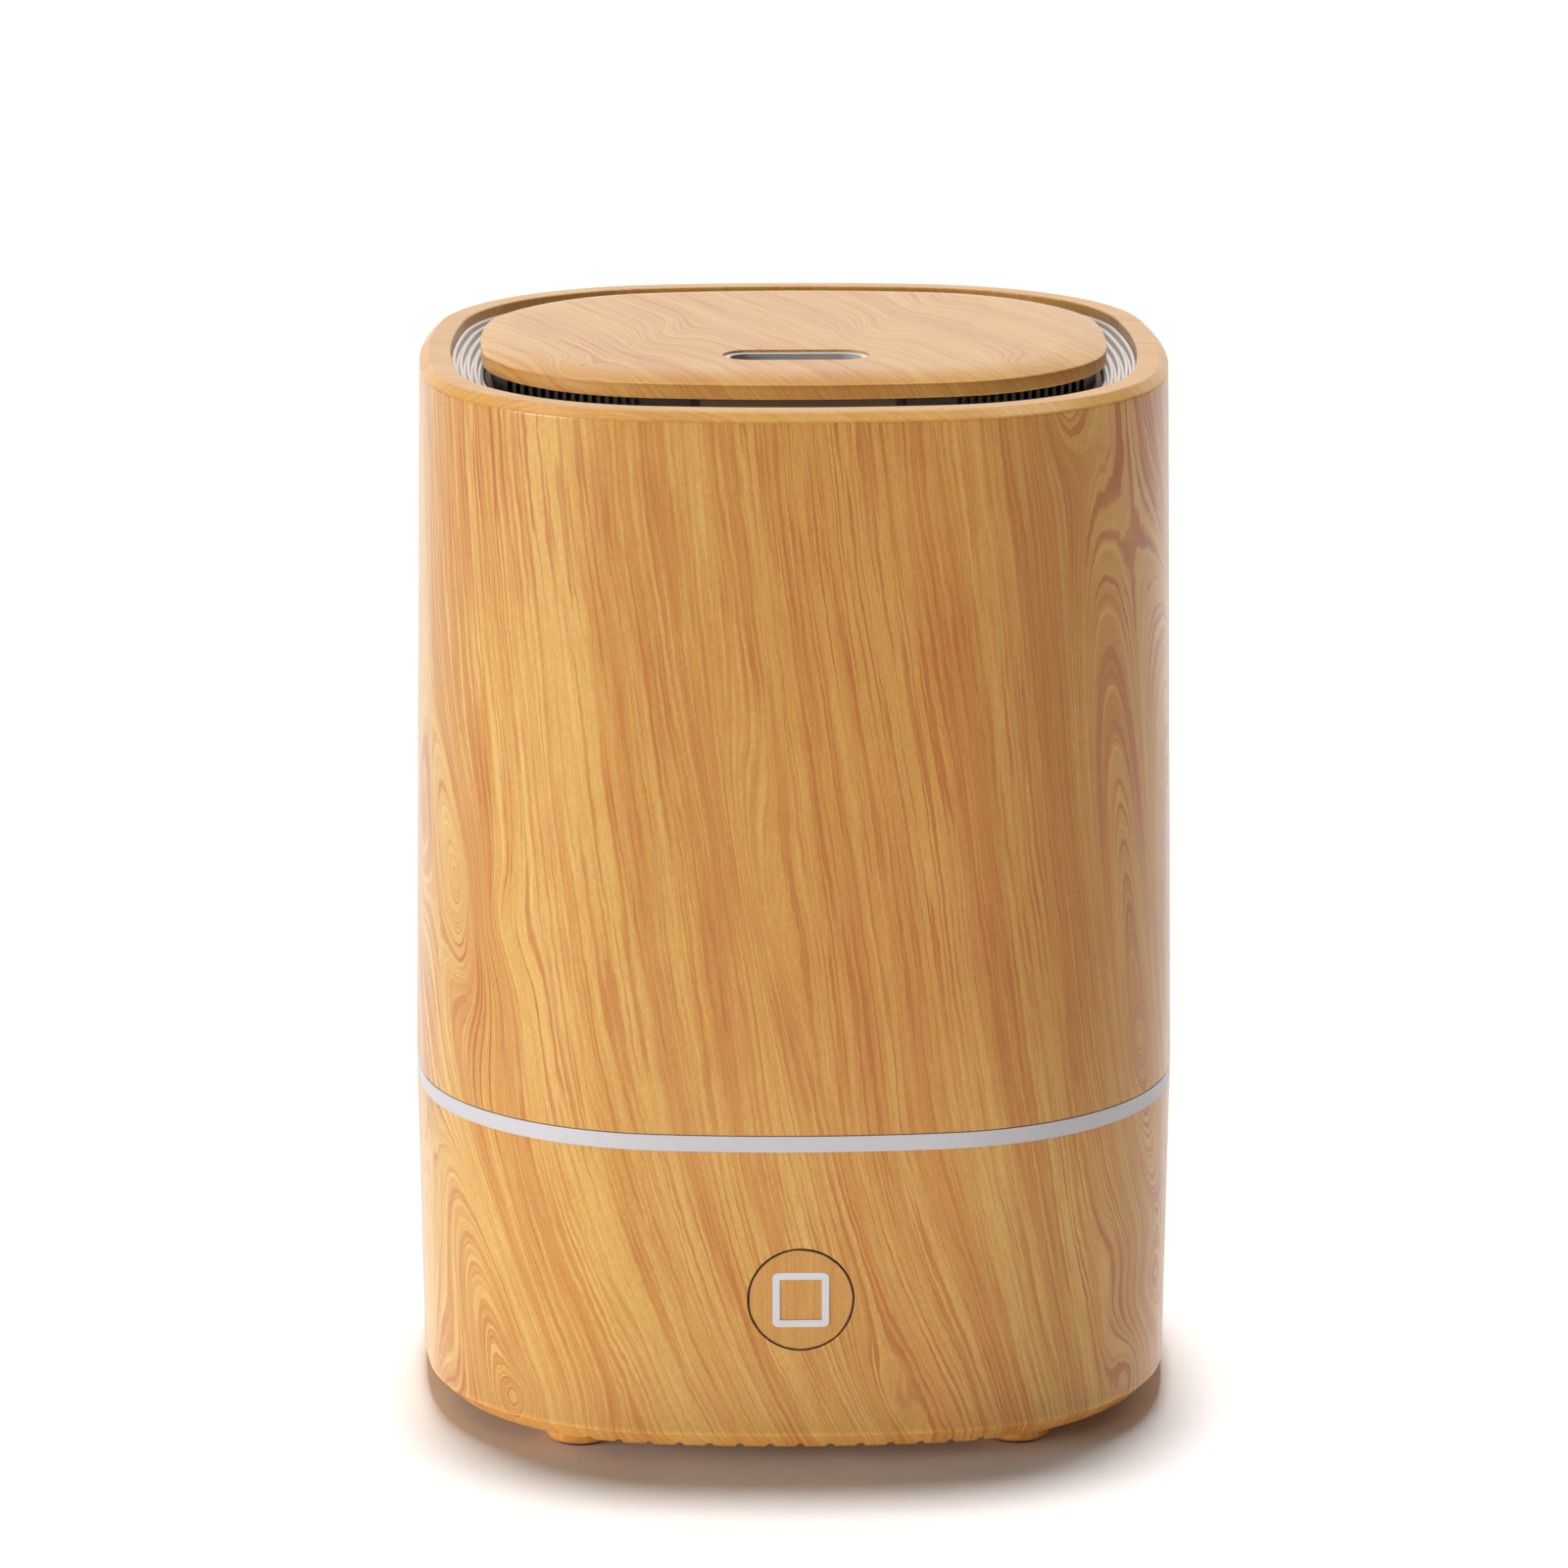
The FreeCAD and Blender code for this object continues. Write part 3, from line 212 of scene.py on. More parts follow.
class Net:
    def __init__(self, tree):
        self.t = tree

    def put(self, sock, v):
        if v is None:
            return
        if isinstance(v, bpy.types.NodeSocket):
            self.t.links.new(v, sock)
        else:
            sock.default_value = v

    def node(self, kind, **props):
        n = self.t.nodes.new(kind)
        for k, v in props.items():
            setattr(n, k, v)
        return n

    def m(self, op, a, b=None, c=None, clamp=False):
        n = self.node("ShaderNodeMath", operation=op, use_clamp=clamp)
        for i, v in enumerate((a, b, c)):
            self.put(n.inputs[i], v)
        return n.outputs[0]

    def add(self, a, b): return self.m("ADD", a, b)
    def sub(self, a, b): return self.m("SUBTRACT", a, b)
    def mul(self, a, b): return self.m("MULTIPLY", a, b)

    def step(self, v, lo, hi, a=0.0, b=1.0):
        n = self.node("ShaderNodeMapRange", interpolation_type="SMOOTHSTEP")
        for i, q in enumerate((v, lo, hi, a, b)):
            self.put(n.inputs[i], q)
        return n.outputs[0]

    def line(self, v, lo, hi, a=0.0, b=1.0):
        n = self.node("ShaderNodeMapRange", interpolation_type="LINEAR")
        for i, q in enumerate((v, lo, hi, a, b)):
            self.put(n.inputs[i], q)
        return n.outputs[0]

    def vec(self, x, y, z):
        n = self.node("ShaderNodeCombineXYZ")
        for i, q in enumerate((x, y, z)):
            self.put(n.inputs[i], q)
        return n.outputs[0]

    def noise1(self, w, detail=1.0, rough=0.5):
        n = self.node("ShaderNodeTexNoise", noise_dimensions="1D")
        self.put(n.inputs["W"], w)
        n.inputs["Scale"].default_value = 1.0
        n.inputs["Detail"].default_value = detail
        n.inputs["Roughness"].default_value = rough
        return n.outputs[0]

    def noise2(self, a, b, detail=2.0, rough=0.5):
        n = self.node("ShaderNodeTexNoise", noise_dimensions="2D")
        self.put(n.inputs["Vector"], self.vec(a, b, 0.0))
        n.inputs["Scale"].default_value = 1.0
        n.inputs["Detail"].default_value = detail
        n.inputs["Roughness"].default_value = rough
        return n.outputs[0]

    def noise3(self, v, scale=1.0, detail=2.0, rough=0.5):
        n = self.node("ShaderNodeTexNoise", noise_dimensions="3D")
        self.put(n.inputs["Vector"], v)
        n.inputs["Scale"].default_value = scale
        n.inputs["Detail"].default_value = detail
        n.inputs["Roughness"].default_value = rough
        return n.outputs[0]

    def mix(self, f, a, b, kind="MIX"):
        n = self.node("ShaderNodeMix", data_type="RGBA", blend_type=kind)
        self.put(n.inputs[0], f)
        self.put(n.inputs[6], a)
        self.put(n.inputs[7], b)
        return n.outputs[2]

    def mm(self):
        """Object coordinates in mm, apart."""
        tc = self.node("ShaderNodeTexCoord")
        sc = self.node("ShaderNodeVectorMath", operation="SCALE")
        self.t.links.new(tc.outputs["Object"], sc.inputs[0])
        sc.inputs[3].default_value = 1000.0
        sp = self.node("ShaderNodeSeparateXYZ")
        self.t.links.new(sc.outputs[0], sp.inputs[0])
        return sc.outputs[0], sp.outputs[0], sp.outputs[1], sp.outputs[2]


def group(name, ins, outs):
    g = bpy.data.node_groups.new(name, "ShaderNodeTree")
    for n, kind, d in ins:
        s = g.interface.new_socket(n, in_out="INPUT", socket_type=kind)
        if d is not None:
            s.default_value = d
    for n, kind in outs:
        g.interface.new_socket(n, in_out="OUTPUT", socket_type=kind)
    net = Net(g)
    gi, go = g.nodes.new("NodeGroupInput"), g.nodes.new("NodeGroupOutput")
    return g, net, gi.outputs, go.inputs


# one swelling of the growth rings: A * exp(-(ds^2 + dz^2))
BUMP, n, gi, go = group("ring_swelling", [("S", "NodeSocketFloat", 0.0), ("Z", "NodeSocketFloat", 0.0),
                        ("s0", "NodeSocketFloat", 0.0), ("z0", "NodeSocketFloat", 0.0), ("ia", "NodeSocketFloat", 1.0),
                        ("ib", "NodeSocketFloat", 1.0), ("tilt", "NodeSocketFloat", 0.0), ("A", "NodeSocketFloat", 1.0)],
                        [("F", "NodeSocketFloat")])
dz = n.sub(gi["Z"], gi["z0"])
ds = n.mul(n.sub(n.sub(gi["S"], gi["s0"]), n.mul(gi["tilt"], dz)), gi["ia"])
dz = n.mul(dz, gi["ib"])
e = n.m("EXPONENT", n.mul(n.add(n.mul(ds, ds), n.mul(dz, dz)), -1.0))
n.t.links.new(n.mul(e, gi["A"]), go["F"])

# ring field F (mm) to colour and height
TONE, n, gi, go = group("wood_tone", [("F", "NodeSocketFloat", 0.0), ("P", "NodeSocketVector", None), ("Lines", "NodeSocketFloat", 1.0),
                       ("Warm", "NodeSocketFloat", 0.5), ("Along", "NodeSocketFloat", 0.0),
                       ("Bands", "NodeSocketFloat", 1.0)],
                        [("Color", "NodeSocketColor"), ("Height", "NodeSocketFloat"), ("Rough", "NodeSocketFloat")])
F, P, K, A, B = gi["F"], gi["P"], gi["Lines"], gi["Along"], gi["Bands"]
fine = n.noise2(n.mul(F, 4.4), n.mul(A, 0.13), 2.0, 0.6)
fleck = n.noise3(P, 2.6, 3.0, 0.62)
along = n.noise3(P, 0.045, 3.0, 0.6)
comb = n.noise2(n.mul(F, 1.9), n.mul(A, 0.035), 3.0, 0.65)
broad = n.noise2(n.mul(F, 0.13), n.mul(A, 0.004), 2.0, 0.5)
broad = n.add(n.add(broad, n.mul(n.sub(comb, 0.5), 0.42)), n.mul(n.sub(along, 0.5), 0.12))
band = n.step(broad, 0.46, 0.64)
pale = n.step(broad, 0.54, 0.36)
ln = n.noise2(n.add(n.mul(F, 1.55), 31.0), n.mul(A, 0.022), 1.0, 0.6)
dark_line = n.mul(n.step(ln, 0.535, 0.60), n.line(along, 0.38, 0.62, 0.40, 1.0))
lt = n.noise2(n.add(n.mul(F, 1.35), 93.0), n.mul(A, 0.022), 1.0, 0.6)
light_line = n.mul(n.step(lt, 0.545, 0.62), n.line(along, 0.62, 0.38, 0.35, 1.0))
col = n.mix(n.mul(pale, B), lin(207, 154, 76), lin(212, 164, 86))
col = n.mix(n.mul(n.mul(band, B), 0.68), col, lin(198, 133, 62))
col = n.mix(n.mul(n.mul(dark_line, K), 0.74), col, lin(183, 107, 43))
col = n.mix(n.mul(n.mul(light_line, K), 0.44), col, lin(224, 185, 105))
col = n.mix(gi["Warm"], col, n.mix(1.0, col, (0.91, 0.785, 0.60, 1.0), "MULTIPLY"))
shade = n.add(n.line(fine, 0.3, 0.7, -0.09, 0.08), n.line(fleck, 0.3, 0.7, -0.085, 0.085))
col = n.mix(1.0, col, n.vec(*(n.add(n.mul(shade, k), 1.0) for k in (0.66, 1.12, 1.9))), "MULTIPLY")
n.t.links.new(col, go["Color"])
h = n.add(n.mul(light_line, 0.5), n.add(n.mul(dark_line, -0.9), n.mul(fine, 0.5)))
n.t.links.new(h, go["Height"])
n.t.links.new(n.line(n.add(dark_line, fleck), 0.3, 1.5, 0.0, 0.09), go["Rough"])


def shader(name, rough=0.4, **extra):
    mat = bpy.data.materials.new(name)
    mat.use_nodes = True
    net = Net(mat.node_tree)
    bs = mat.node_tree.nodes["Principled BSDF"]
    bs.inputs["Roughness"].default_value = rough
    for k, v in extra.items():
        bs.inputs[k.replace("_", " ")].default_value = v
    return mat, net, bs


def bump(net, bs, height, distance, strength=1.0):
    b = net.node("ShaderNodeBump")
    b.inputs["Strength"].default_value = strength
    b.inputs["Distance"].default_value = distance
    net.put(b.inputs["Height"], height)
    net.put(bs.inputs["Normal"], b.outputs[0])


def swell(net, S, Z, f, items):
    for s0, z0, a, b, tilt, A in items:
        g = net.node("ShaderNodeGroup", node_tree=BUMP)
        net.put(g.inputs["S"], S)
        net.put(g.inputs["Z"], Z)
        for k, v in (("s0", s0), ("z0", z0), ("ia", 1 / a), ("ib", 1 / b), ("tilt", tilt), ("A", A)):
            g.inputs[k].default_value = v
        f = net.add(f, g.outputs[0])
    return f


def tone(net, F, P, A, lines=1.0, warm=0.5, bands=1.0):
    g = net.node("ShaderNodeGroup", node_tree=TONE)
    net.put(g.inputs["F"], F)
    net.put(g.inputs["P"], P)
    net.put(g.inputs["Along"], A)
    net.put(g.inputs["Lines"], lines)
    g.inputs["Bands"].default_value = bands
    net.put(g.inputs["Warm"], warm)
    return g.outputs["Color"], g.outputs["Height"], g.outputs["Rough"]


# knots and cathedrals of the wrapped sheet: s along the wall, z up, both in mm
FIGURE = [
    (-45.0, 9.0, 7.5, 31.0, -0.31, -26.0), (-76.0, 6.0, 13.0, 40.0, -0.1, 26.0),
    (-43.4, 8.8, 3.6, 3.6, 0.0, -7.0), (-32.0, -2.0, 9.0, 10.0, 0.0, 7.0),
    (-56.5, 90.0, 6.0, 21.0, -0.25, -13.5), (-78.0, 92.0, 12.0, 26.0, 0.0, 13.5),
    (-56.0, 88.0, 3.0, 5.0, 0.0, -4.0), (-47.5, 83.5, 6.5, 8.0, 0.0, 4.0),
    (55.5, 66.0, 7.0, 66.0, -0.14, 34.0), (76.5, 72.0, 12.0, 66.0, -0.1, -34.0),
    (57.0, 62.5, 3.0, 4.5, 0.0, 6.0), (39.5, 172.0, 4.4, 14.0, 0.0, 13.0),
    (60.0, 20.0, 8.0, 26.0, -0.12, -26.0), (77.0, 22.0, 12.0, 30.0, -0.1, 26.0),
    (61.0, 21.0, 7.5, 7.0, 0.0, 16.0), (78.0, 24.0, 10.0, 12.0, 0.0, -16.0),
    (-6.0, 92.0, 4.2, 30.0, -0.2, 3.8), (15.0, 7.0, 4.5, 15.0, -0.42, 5.5),
    (99.0, 118.0, 6.0, 34.0, -0.10, 11.0), (112.0, 40.0, 6.0, 12.0, 0.1, 10.0),
    (150.0, 90.0, 5.0, 8.0, 0.0, 9.0), (146.0, 112.0, 6.0, 26.0, 0.1, 10.0),
    (-98.0, 62.0, 7.0, 38.0, 0.12, 13.0), (-120.0, 128.0, 4.5, 6.0, 0.0, 8.5),
    (-146.0, 66.0, 6.0, 30.0, -0.1, 10.0), (172.0, 24.0, 5.0, 12.0, 0.0, 8.0),
]


def wrapped_wood(name):
    mat, n, bs = shader(name, 0.36, Specular_IOR_Level=0.16, Coat_Weight=0.52, Coat_Roughness=0.2)
    bs.inputs["IOR"].default_value = 1.5
    P, x, y, z = n.mm()
    th = n.m("ARCTAN2", x, n.mul(y, -1.0))
    s = n.mul(th, 60.0)
    w1 = n.noise3(n.vec(n.mul(x, 0.030), n.mul(y, 0.030), n.mul(z, 0.011)), 1.0, 2.0)
    w2 = n.noise3(n.vec(n.mul(x, 0.16), n.mul(y, 0.16), n.mul(z, 0.035)), 1.0, 2.0)
    w3 = n.noise3(n.vec(n.mul(x, 0.9), n.mul(y, 0.9), n.mul(z, 0.22)), 1.0, 1.0)
    low = n.m("MAXIMUM", n.sub(62.0, z), 0.0)
    lean = n.sub(n.mul(z, 0.13), n.mul(n.mul(low, low), n.step(s, 15.0, 50.0, 0.0034, 0.00085)))
    f = n.add(s, lean)
    f = n.add(f, n.mul(n.sub(w1, 0.5), 5.0))
    f = n.add(f, n.mul(n.sub(w2, 0.5), 1.1))
    f = n.add(f, n.mul(n.sub(w3, 0.5), 0.45))
    f = swell(n, s, z, f, FIGURE)
    under = n.add(n.add(x, n.mul(y, 0.12)), n.mul(n.sub(w1, 0.5), 8.0))
    up = n.step(z, 3.0, 3.25)
    f = n.add(n.mul(f, up), n.mul(under, n.sub(1.0, up)))
    warm = n.mul(n.step(s, -42.0, 5.0), n.step(z, 40.0, 75.0, 0.1, 1.0))
    crisp = n.step(n.m("ABSOLUTE", s), 30.0, 52.0, 1.0, 1.55)
    c, h, r = tone(n, f, n.vec(x, y, n.mul(z, 0.45)), n.add(n.mul(z, up), n.mul(y, n.sub(1.0, up))), crisp, warm)
    # painted light: wood below z 6.4 mm (the bottom bevel) is brightened up to 1.48 times, standing in for floor light
    # the downward-facing bevel doesn't get
    low = n.step(z, 6.4, 4.8, 1.0, 1.48)
    c = n.mix(1.0, c, n.vec(low, low, low), "MULTIPLY")
    n.put(bs.inputs["Base Color"], c)
    n.put(bs.inputs["Roughness"], n.add(r, 0.34))
    bump(n, bs, h, 0.00004, 0.5)
    return mat


def planar_wood(name, along, lean, figure=(), pitch=1.0, warp=8.0, lines=1.0, side=0.0, rough=0.34, bands=1.0, warm=0.5, painted_gap_shade=None, painted_light_lift=None):
    """Boards: rings counted across, along 'y' or 'x' or 'z'; lean turns them."""
    mat, n, bs = shader(name, 0.36, Specular_IOR_Level=0.5, Coat_Weight=0.12, Coat_Roughness=0.2)
    P, x, y, z = n.mm()
    a, b = {"y": (x, y), "x": (y, x), "z": (x, z)}[along]
    if side:
        b = n.add(b, n.mul(n.sub(z, 166.0), side))
    w1 = n.noise3(n.vec(n.mul(a, 0.035), n.mul(b, 0.014), n.mul(z, 0.004)), 1.0, 2.0)
    w2 = n.noise3(n.vec(n.mul(a, 0.2), n.mul(b, 0.05), n.mul(z, 0.01)), 1.0, 2.0)
    f = n.add(n.mul(a, pitch), n.mul(b, lean))
    f = n.add(f, n.mul(n.sub(w1, 0.5), warp))
    f = n.add(f, n.mul(n.sub(w2, 0.5), warp * 0.28))
    f = swell(n, a, b, f, figure)
    c, h, r = tone(n, f, n.vec(n.mul(a, 1.0), n.mul(b, 0.45), n.mul(z, 0.45)), b, lines, warm, bands)
    # painted light: wood below the given height is brightened by the given factor, standing in for light that these
    # lower faces don't get
    if painted_light_lift:
        k = n.step(z, painted_light_lift[0], painted_light_lift[1], painted_light_lift[2], 1.0)
        c = n.mix(1.0, c, n.vec(k, k, k), "MULTIPLY")
    # painted shadow: a dark brown ring of uneven width at the given radius round the button, standing in for the shade
    # in the gap between the button and its hole
    if painted_gap_shade:
        cz, r0 = painted_gap_shade
        dz = n.sub(z, cz)
        rad = n.m("SQRT", n.add(n.mul(x, x), n.mul(dz, dz)))
        uneven = n.noise1(n.mul(n.m("ARCTAN2", x, dz), 2.3), 1.0)
        c = n.mix(n.step(n.add(rad, n.mul(n.sub(uneven, 0.5), 0.35)), r0 - 0.04, r0 + 0.03), c, lin(74, 42, 20))
    n.put(bs.inputs["Base Color"], c)
    n.put(bs.inputs["Roughness"], n.add(r, rough))
    bump(n, bs, h, 0.00004, 0.5)
    return mat


def plastic(name, rgb, rough=0.4, vary=0.04, grain=1.2, depth=0.00002, **extra):
    """Moulded plastic: slight tone drift, fine moulded texture."""
    mat, n, bs = shader(name, rough, **extra)
    P, x, y, z = n.mm()
    a = n.noise3(P, 0.06, 3.0)
    b = n.noise3(P, grain, 3.0, 0.6)
    k = n.add(n.line(a, 0.3, 0.7, 1 - vary, 1 + vary), n.line(b, 0.3, 0.7, -vary * 0.4, vary * 0.4))
    n.put(bs.inputs["Base Color"], n.mix(1.0, lin(*rgb), n.vec(k, k, k), "MULTIPLY"))
    n.put(bs.inputs["Roughness"], n.add(rough - 0.04, n.mul(b, 0.08)))
    bump(n, bs, b, depth, 0.6)
    return mat


def collar(name):
    """Vent collar: lighter middle panel between two near-black bands of painted shadow at the gaps, black-brown slats
    outside.
    """
    mat, n, bs = shader(name, 0.42)
    P, x, y, z = n.mm()
    a = n.m("ABSOLUTE", x)
    v = n.noise3(P, 0.8, 3.0, 0.6)
    # painted shadow: the near-black band between |x| 15.0 and 16.2 mm stands in for the shade inside the gaps beside
    # the middle panel
    col = n.mix(n.step(a, 14.6, 15.0), lin(92, 70, 53), lin(15, 11, 9))
    col = n.mix(n.step(a, 16.2, 16.6), col, lin(48, 36, 28))
    col = n.mix(n.step(a, 22.8, 24.0), col, lin(36, 27, 22))
    k = n.line(v, 0.3, 0.7, 0.9, 1.1)
    n.put(bs.inputs["Base Color"], n.mix(1.0, col, n.vec(k, k, k), "MULTIPLY"))
    n.put(bs.inputs["Roughness"], n.line(v, 0.3, 0.7, 0.36, 0.48))
    bump(n, bs, v, 0.00002, 0.6)
    return mat


def metal(name, rgb, rough=0.3, axis="z", scale=3.0):
    mat, n, bs = shader(name, rough, Metallic=1.0)
    P, x, y, z = n.mm()
    v = {"z": n.vec(n.mul(x, scale), n.mul(y, scale), n.mul(z, 0.1)),
         "r": n.vec(n.mul(n.m("SQRT", n.add(n.mul(x, x), n.mul(y, y))), scale), 0.0, 0.0)}[axis]
    b = n.noise3(v, 1.0, 3.0, 0.6)
    k = n.line(b, 0.3, 0.7, 0.9, 1.08)
    n.put(bs.inputs["Base Color"], n.mix(1.0, lin(*rgb), n.vec(k, k, k), "MULTIPLY"))
    n.put(bs.inputs["Roughness"], n.add(rough - 0.06, n.mul(b, 0.12)))
    bump(n, bs, b, 0.00001, 0.5)
    return mat


def board(name):
    """Solder mask over tracks, with pads."""
    mat, n, bs = shader(name, 0.35)
    P, x, y, z = n.mm()
    g = n.node("ShaderNodeTexBrick")
    n.put(g.inputs["Vector"], P)
    g.inputs["Scale"].default_value = 0.35
    g.inputs["Mortar Size"].default_value = 0.03
    g.inputs["Color1"].default_value = lin(20, 92, 52)
    g.inputs["Color2"].default_value = lin(26, 104, 58)
    g.inputs["Mortar"].default_value = lin(50, 138, 80)
    v = n.noise3(P, 0.4, 2.0)
    k = n.line(v, 0.3, 0.7, 0.9, 1.1)
    n.put(bs.inputs["Base Color"], n.mix(1.0, g.outputs[0], n.vec(k, k, k), "MULTIPLY"))
    bump(n, bs, g.outputs[1], 0.00002, 0.5)
    return mat


LID_FIGURE = [(-20.0, -4.0, 5.0, 14.0, 0.25, 6.0), (-34.0, -30.0, 4.0, 7.0, 0.0, 6.5), (12.0, -2.0, 5.0, 13.0, 0.1, 6.0),
              (34.0, -28.0, 4.0, 6.0, 0.0, 6.0), (22.0, 26.0, 6.0, 12.0, 0.2, 5.0)]

WOOD = wrapped_wood("wood_wrap")
WOOD_RIM = planar_wood("wood_rim", "x", 0.35, (), 1.0, 4.0, 0.38, bands=0.35, warm=0.1)
# the lid's side below z 165 mm is brightened 1.28 times: painted light on the side shaded under the lid's roll-off
WOOD_LID = planar_wood("wood_lid", "y", 0.45, LID_FIGURE, 1.0, 4.5, 0.52, side=1.6, bands=0.6, warm=0.15, painted_light_lift=(165.0, 166.3, 1.28))
# the button's wood gets a painted shadow ring 7.86 mm from its centre for the gap round it
WOOD_BUTTON = planar_wood("wood_button", "z", 0.0, (), 2.6, 0.8, 0.35, bands=0.35, warm=0.35, painted_gap_shade=(27.49, 7.86))
# the feet below z 4 mm are brightened 1.35 times: painted light on their shaded lower part
WOOD_FOOT = planar_wood("wood_foot", "x", 0.2, (), 1.0, 4.0, 0.6, painted_light_lift=(4.0, 5.0, 1.35))
TAN = plastic("moulded_tan", (214, 165, 105), 0.45)
RING = plastic("opal_ring", (197, 194, 197), 0.35, 0.015)
TRIM = plastic("trim_grey", (216, 209, 202), 0.38, 0.02)
DARK = collar("collar_dark")
LINER = plastic("liner_white", (220, 217, 214), 0.35, 0.02)
INNER = plastic("inner_grey", (120, 128, 138), 0.45, 0.03)
ICON = plastic("icon_grey", (214, 214, 218), 0.4, 0.02)
TANK = plastic("tank_white", (228, 225, 219), 0.24, 0.015)
RUBBER = plastic("rubber_black", (34, 34, 35), 0.7, 0.06)
BLACK = plastic("black_plastic", (30, 30, 32), 0.42, 0.06)
SILICONE = plastic("silicone", (205, 205, 200), 0.5, 0.03, Subsurface_Weight=0.2)
LED = plastic("led_lens", (245, 240, 214), 0.15, 0.02)
PCB = board("circuit_board")
STEEL = metal("zinc_steel", (176, 176, 178), 0.32)
ALU = metal("anodised_aluminium", (196, 198, 202), 0.35)
DISC = metal("piezo_plate", (198, 196, 190), 0.25, "r", 2.0)
BRASS = metal("plated_brass", (214, 190, 120), 0.25)
COPPER = metal("enamelled_copper", (196, 112, 62), 0.3, "z", 6.0)

BY_SLOT = {"wood": WOOD, "button_wood": WOOD_BUTTON, "rubber": RUBBER, "steel": STEEL, "diffuser_white": RING,
           "tank_white": TANK, "trim_grey": TRIM, "collar_dark": DARK, "liner_white": LINER, "inner_grey": INNER,
           "silicone": SILICONE, "icon_grey": ICON, "ceramic_disc": DISC, "circuit_board": PCB, "black_plastic": BLACK,
           "aluminium": ALU, "copper": COPPER, "led": LED, "contact_metal": BRASS}
for sub in frame["record"]["subparts"]:
    ob = NODES[sub["node"]]
    mat = BY_SLOT[sub["material_slot"]]
    if sub["node"].startswith("foot_front") or sub["node"].startswith("foot_rear"):
        mat = WOOD_FOOT
    ob.data.materials.clear()
    ob.data.materials.append(mat)

# ------------------------------------------------------------------ upper cover
(_, _, ZC0), (_, _, ZC1) = mmbox("upper_cover")
prof = rounded([(0.0, ZC0 - 0.12, 0.07), (-1.62, ZC1 - 1.4, 0.9), (-3.02, ZC1, 0.7), (-6.6, ZC1, 0.3),
                (-6.6, 157.0, 0.2), (-4.8, 157.0, 0.0), (-3.3, ZC0 - 0.12, 0.1)], 5)


def cover_index(d0, z0, d1, z1):
    z, d = (z0 + z1) / 2, (d0 + d1) / 2
    if z > ZC1 - 1.55 and d > -3.1:
        return 1
    if z > ZC1 - 0.4:
        return 1
    if d < -6.5:
        return 1
    if z < 157.5 and d < -1.9 and d < -3.25 + (z - ZC0) * -0.0145 + 0.2:
        return 2
    return 0


cover = sweep("cover_shell", BODY, prof, (WOOD, WOOD_RIM, TAN), cover_index)
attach(cover, "cover")
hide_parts("upper_cover")

# ------------------------------------------------------------------ light ring
(_, _, ZR0), (_, _, ZR1) = mmbox("light_ring")
prof = rounded([(0.0, 51.04, 0.04), (0.0, ZR1, 0.05), (-5.9, ZR1, 0.2), (-5.9, ZR0, 0.2), (-4.1, ZR0, 0.2), (-4.1, 51.04, 0.0)], 3)
ring = sweep("light_band", BODY, prof, (RING,))
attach(ring, "base")
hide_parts("light_ring")

# ------------------------------------------------------------------ ribbed recess
(_, _, ZT0), (_, _, ZT1) = mmbox("recess_trim")
D0 = 53.35 - 60.0
prof = [(D0, ZT0), (D0, ZT1 - 0.3)]
for k in range(5):
    c, top, r = D0 - 1.12 * k - 0.36, ZT1 - 0.5 * k, 0.36
    for q in range(9):
        t = math.pi * q / 8
        prof.append((c + r * math.cos(t), top - r + r * math.sin(t)))
    low = top - 1.2 if k < 4 else 160.5
    prof.append((c - r, low + 0.08))
    if k < 4:
        prof.append((c - r - 0.08, low))
        prof.append((c - r - 0.32, low))
prof += [(c - r, 160.5), (c - r, ZT0)]
ribs = sweep("recess_ribs", BODY, prof, (TRIM,), sharp=50.0)
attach(ribs, "cover")
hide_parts("recess_trim")
floor_edge = [tuple(p) for p in BODY.ring(c - r + 0.02)]
deck = prism("recess_floor", floor_edge, ZT0, 160.5)
boolean(deck, prism("tool", stadium_points(-22.4, 6.5, 5.1), ZT0 - 2, 163))
for p in deck.data.polygons:
    p.use_smooth = False
deck.data.materials.clear()
deck.data.materials.append(TRIM)
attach(deck, "cover")

# ------------------------------------------------------------------ lid
(_, _, ZL0), (_, _, ZL1) = mmbox("mist_lid")
CREASE, ROLL, FLAT = 166.0, 8.0, ZL1 - 0.14
side = [(d, z) for d, z in rounded([(-3.0, ZL0, 0.0), (0.0, ZL0, 0.3), (0.0, CREASE, 0.30), (-3.0, CREASE + 0.95, 0.0)], 6)][1:-1]
bm = bmesh.new()
rows = []
for d, z in side:
    rows.append([bm.verts.new((x * MM, y * MM, z * MM)) for x, y in LID.ring(d)])
d_start, z_start = side[-1]
for q in range(1, 15):
    u = q / 14
    d = d_start - (ROLL + d_start) * u
    z = z_start + (FLAT - z_start) * (1 - (1 - u) ** 2.3)
    rows.append([bm.verts.new((x * MM, y * MM, z * MM)) for x, y in LID.ring(d)])
for q in range(1, 10):
    sc = 1 - q / 10
    z = FLAT + (ZL1 - FLAT) * (1 - sc * sc)
    rows.append([bm.verts.new((x * MM, y * MM, z * MM)) for x, y in LID.ring(-ROLL, sc)])
tip = bm.verts.new((0, 0, ZL1 * MM))
for i in range(len(rows) - 1):
    for j in range(LID.n):
        k = (j + 1) % LID.n
        bm.faces.new((rows[i][j], rows[i][k], rows[i + 1][k], rows[i + 1][j]))
for j in range(LID.n):
    bm.faces.new((rows[-1][j], rows[-1][(j + 1) % LID.n], tip))
bm.faces.new(rows[0][::-1])
lid = finish_mesh(bm, "lid_shell", 38.0)
boolean(lid, prism("tool", stadium_points(-22.4, 7.05, 4.2, 24), ZL0 - 1, ZL1 + 1))
for p in lid.data.polygons:
    p.use_smooth = True
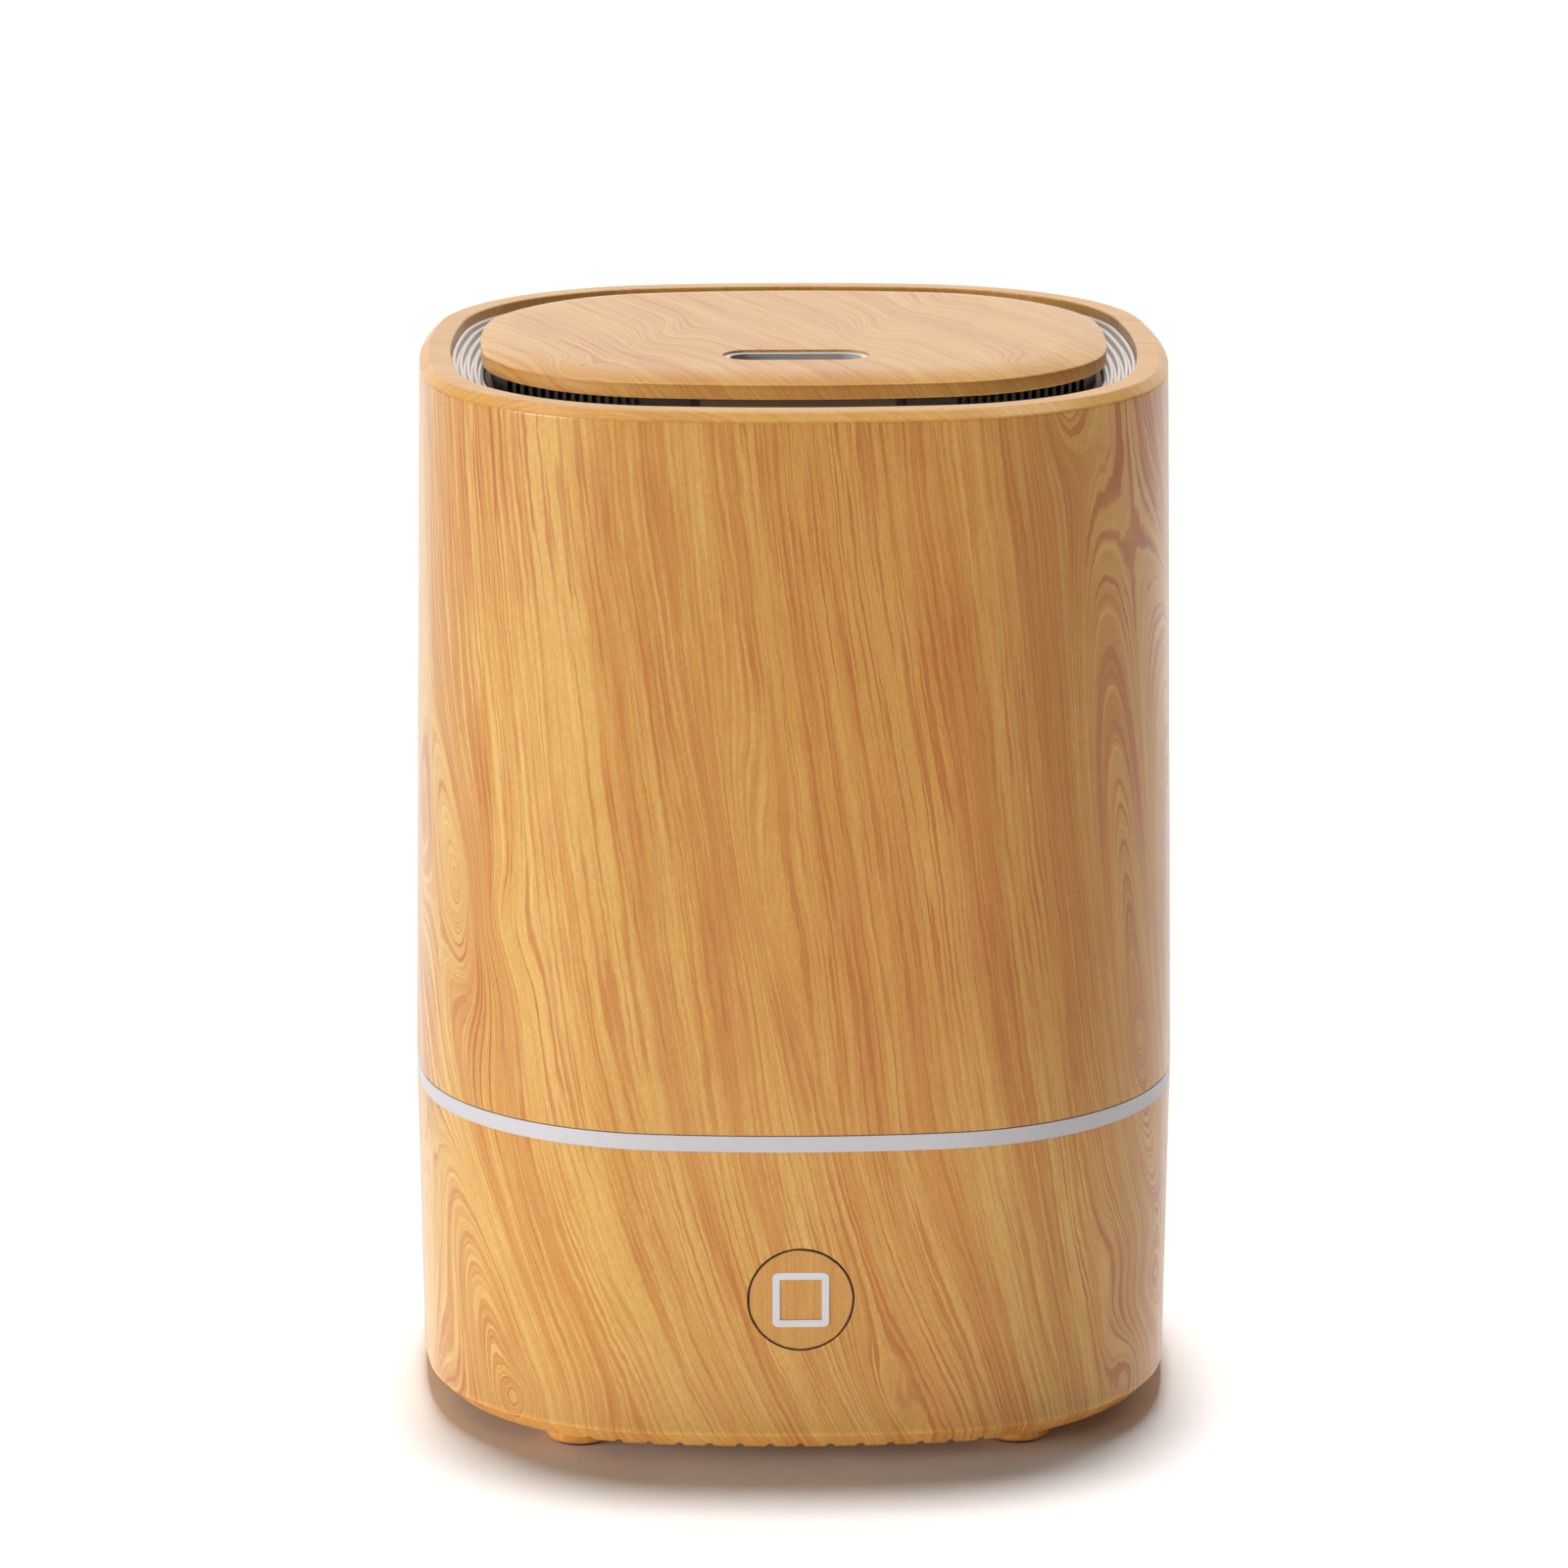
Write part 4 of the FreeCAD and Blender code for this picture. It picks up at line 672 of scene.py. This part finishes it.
lid.data.set_sharp_from_angle(angle=math.radians(38))
lid.data.materials.clear()
lid.data.materials.append(WOOD_LID)
weighted(lid)
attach(lid, "lid")
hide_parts("mist_lid")

# ------------------------------------------------------------------ floor, light, camera
bpy.ops.mesh.primitive_grid_add(x_subdivisions=4, y_subdivisions=4, size=14.0, location=(0, 3.0, 0))
floor = bpy.context.object
floor.name = "floor"
mat, n, bs = shader("pale_floor", 0.75)
P, x, y, z = n.mm()
k = n.line(n.noise3(P, 0.004, 2.0), 0.3, 0.7, 0.985, 1.0)
n.put(bs.inputs["Base Color"], n.mix(1.0, lin(250, 248, 246), n.vec(k, k, k), "MULTIPLY"))
bs.inputs["Specular IOR Level"].default_value = 0.1
floor.data.materials.append(mat)

world = bpy.data.worlds.new("studio")
bpy.context.scene.world = world
world.use_nodes = True
world.node_tree.nodes["Background"].inputs[0].default_value = (1.0, 0.995, 0.99, 1)
world.node_tree.nodes["Background"].inputs[1].default_value = 0.035


def sun(name, strength, angle, az, el, color=(1, 1, 1)):
    """Light from azimuth az (0 = from the front, -Y, growing towards +X) and elevation el."""
    d = bpy.data.lights.new(name, "SUN")
    d.energy, d.angle, d.color = strength, math.radians(angle), color
    o = bpy.data.objects.new(name, d)
    a, e = math.radians(az), math.radians(el)
    src = Vector((math.sin(a) * math.cos(e), -math.cos(a) * math.cos(e), math.sin(e)))
    o.rotation_euler = src.to_track_quat("Z", "Y").to_euler()
    bpy.context.scene.collection.objects.link(o)
    return o


def panel(name, radiance, size, at, target, color=(1, 1, 1)):
    """Soft box of even radiance facing a point."""
    d = bpy.data.lights.new(name, "AREA")
    d.shape, d.size, d.size_y = "RECTANGLE", size[0], size[1]
    d.energy, d.color = radiance * math.pi * size[0] * size[1], color
    o = bpy.data.objects.new(name, d)
    o.location = at
    o.rotation_euler = (Vector(at) - Vector(target)).to_track_quat("Z", "Y").to_euler()
    bpy.context.scene.collection.objects.link(o)
    return o


key = sun("key", 3.0, 7, 182, 84, (0.99, 0.99, 1.0))
key.visible_glossy = False
sun("left_fill", 3.05, 36, -65, 2.0)
panel("back_box", 1.15, (6.0, 2.4), (0.2, 3.2, 1.25), (0, 0, 0.1))
sheen = panel("rim_card", 4.6, (5.0, 1.3), (0.1, 0.62, 3.03), (0, 0, 0.1))
sheen.visible_diffuse = False
card = panel("low_card", 2.9, (0.6, 0.036), (-0.08, -0.29, 0.019), (0, -0.06, 0.026))
card.visible_glossy = False

cam = bpy.data.cameras.new("camera")
cam.sensor_width = 36.0
cam.sensor_fit = "HORIZONTAL"
cam.lens = 166.59
cam.clip_end = 50
co = bpy.data.objects.new("camera", cam)
bpy.context.scene.collection.objects.link(co)
e, w = math.radians(13.620248), math.radians(-1.094862)
back = Vector((math.sin(w) * math.cos(e), -math.cos(w) * math.cos(e), math.sin(e)))
rt = Vector((math.cos(w), math.sin(w), 0))
up = back.cross(rt)
pos = Vector((-1.421925, 0, 94.150511)) * MM + back * (1150.984 * MM)
m = Matrix((rt, up, back)).transposed().to_4x4()
m.translation = pos
co.matrix_world = m
bpy.context.scene.camera = co
bpy.context.scene.view_settings.view_transform = "Standard"
bpy.context.scene.view_settings.look = "None"
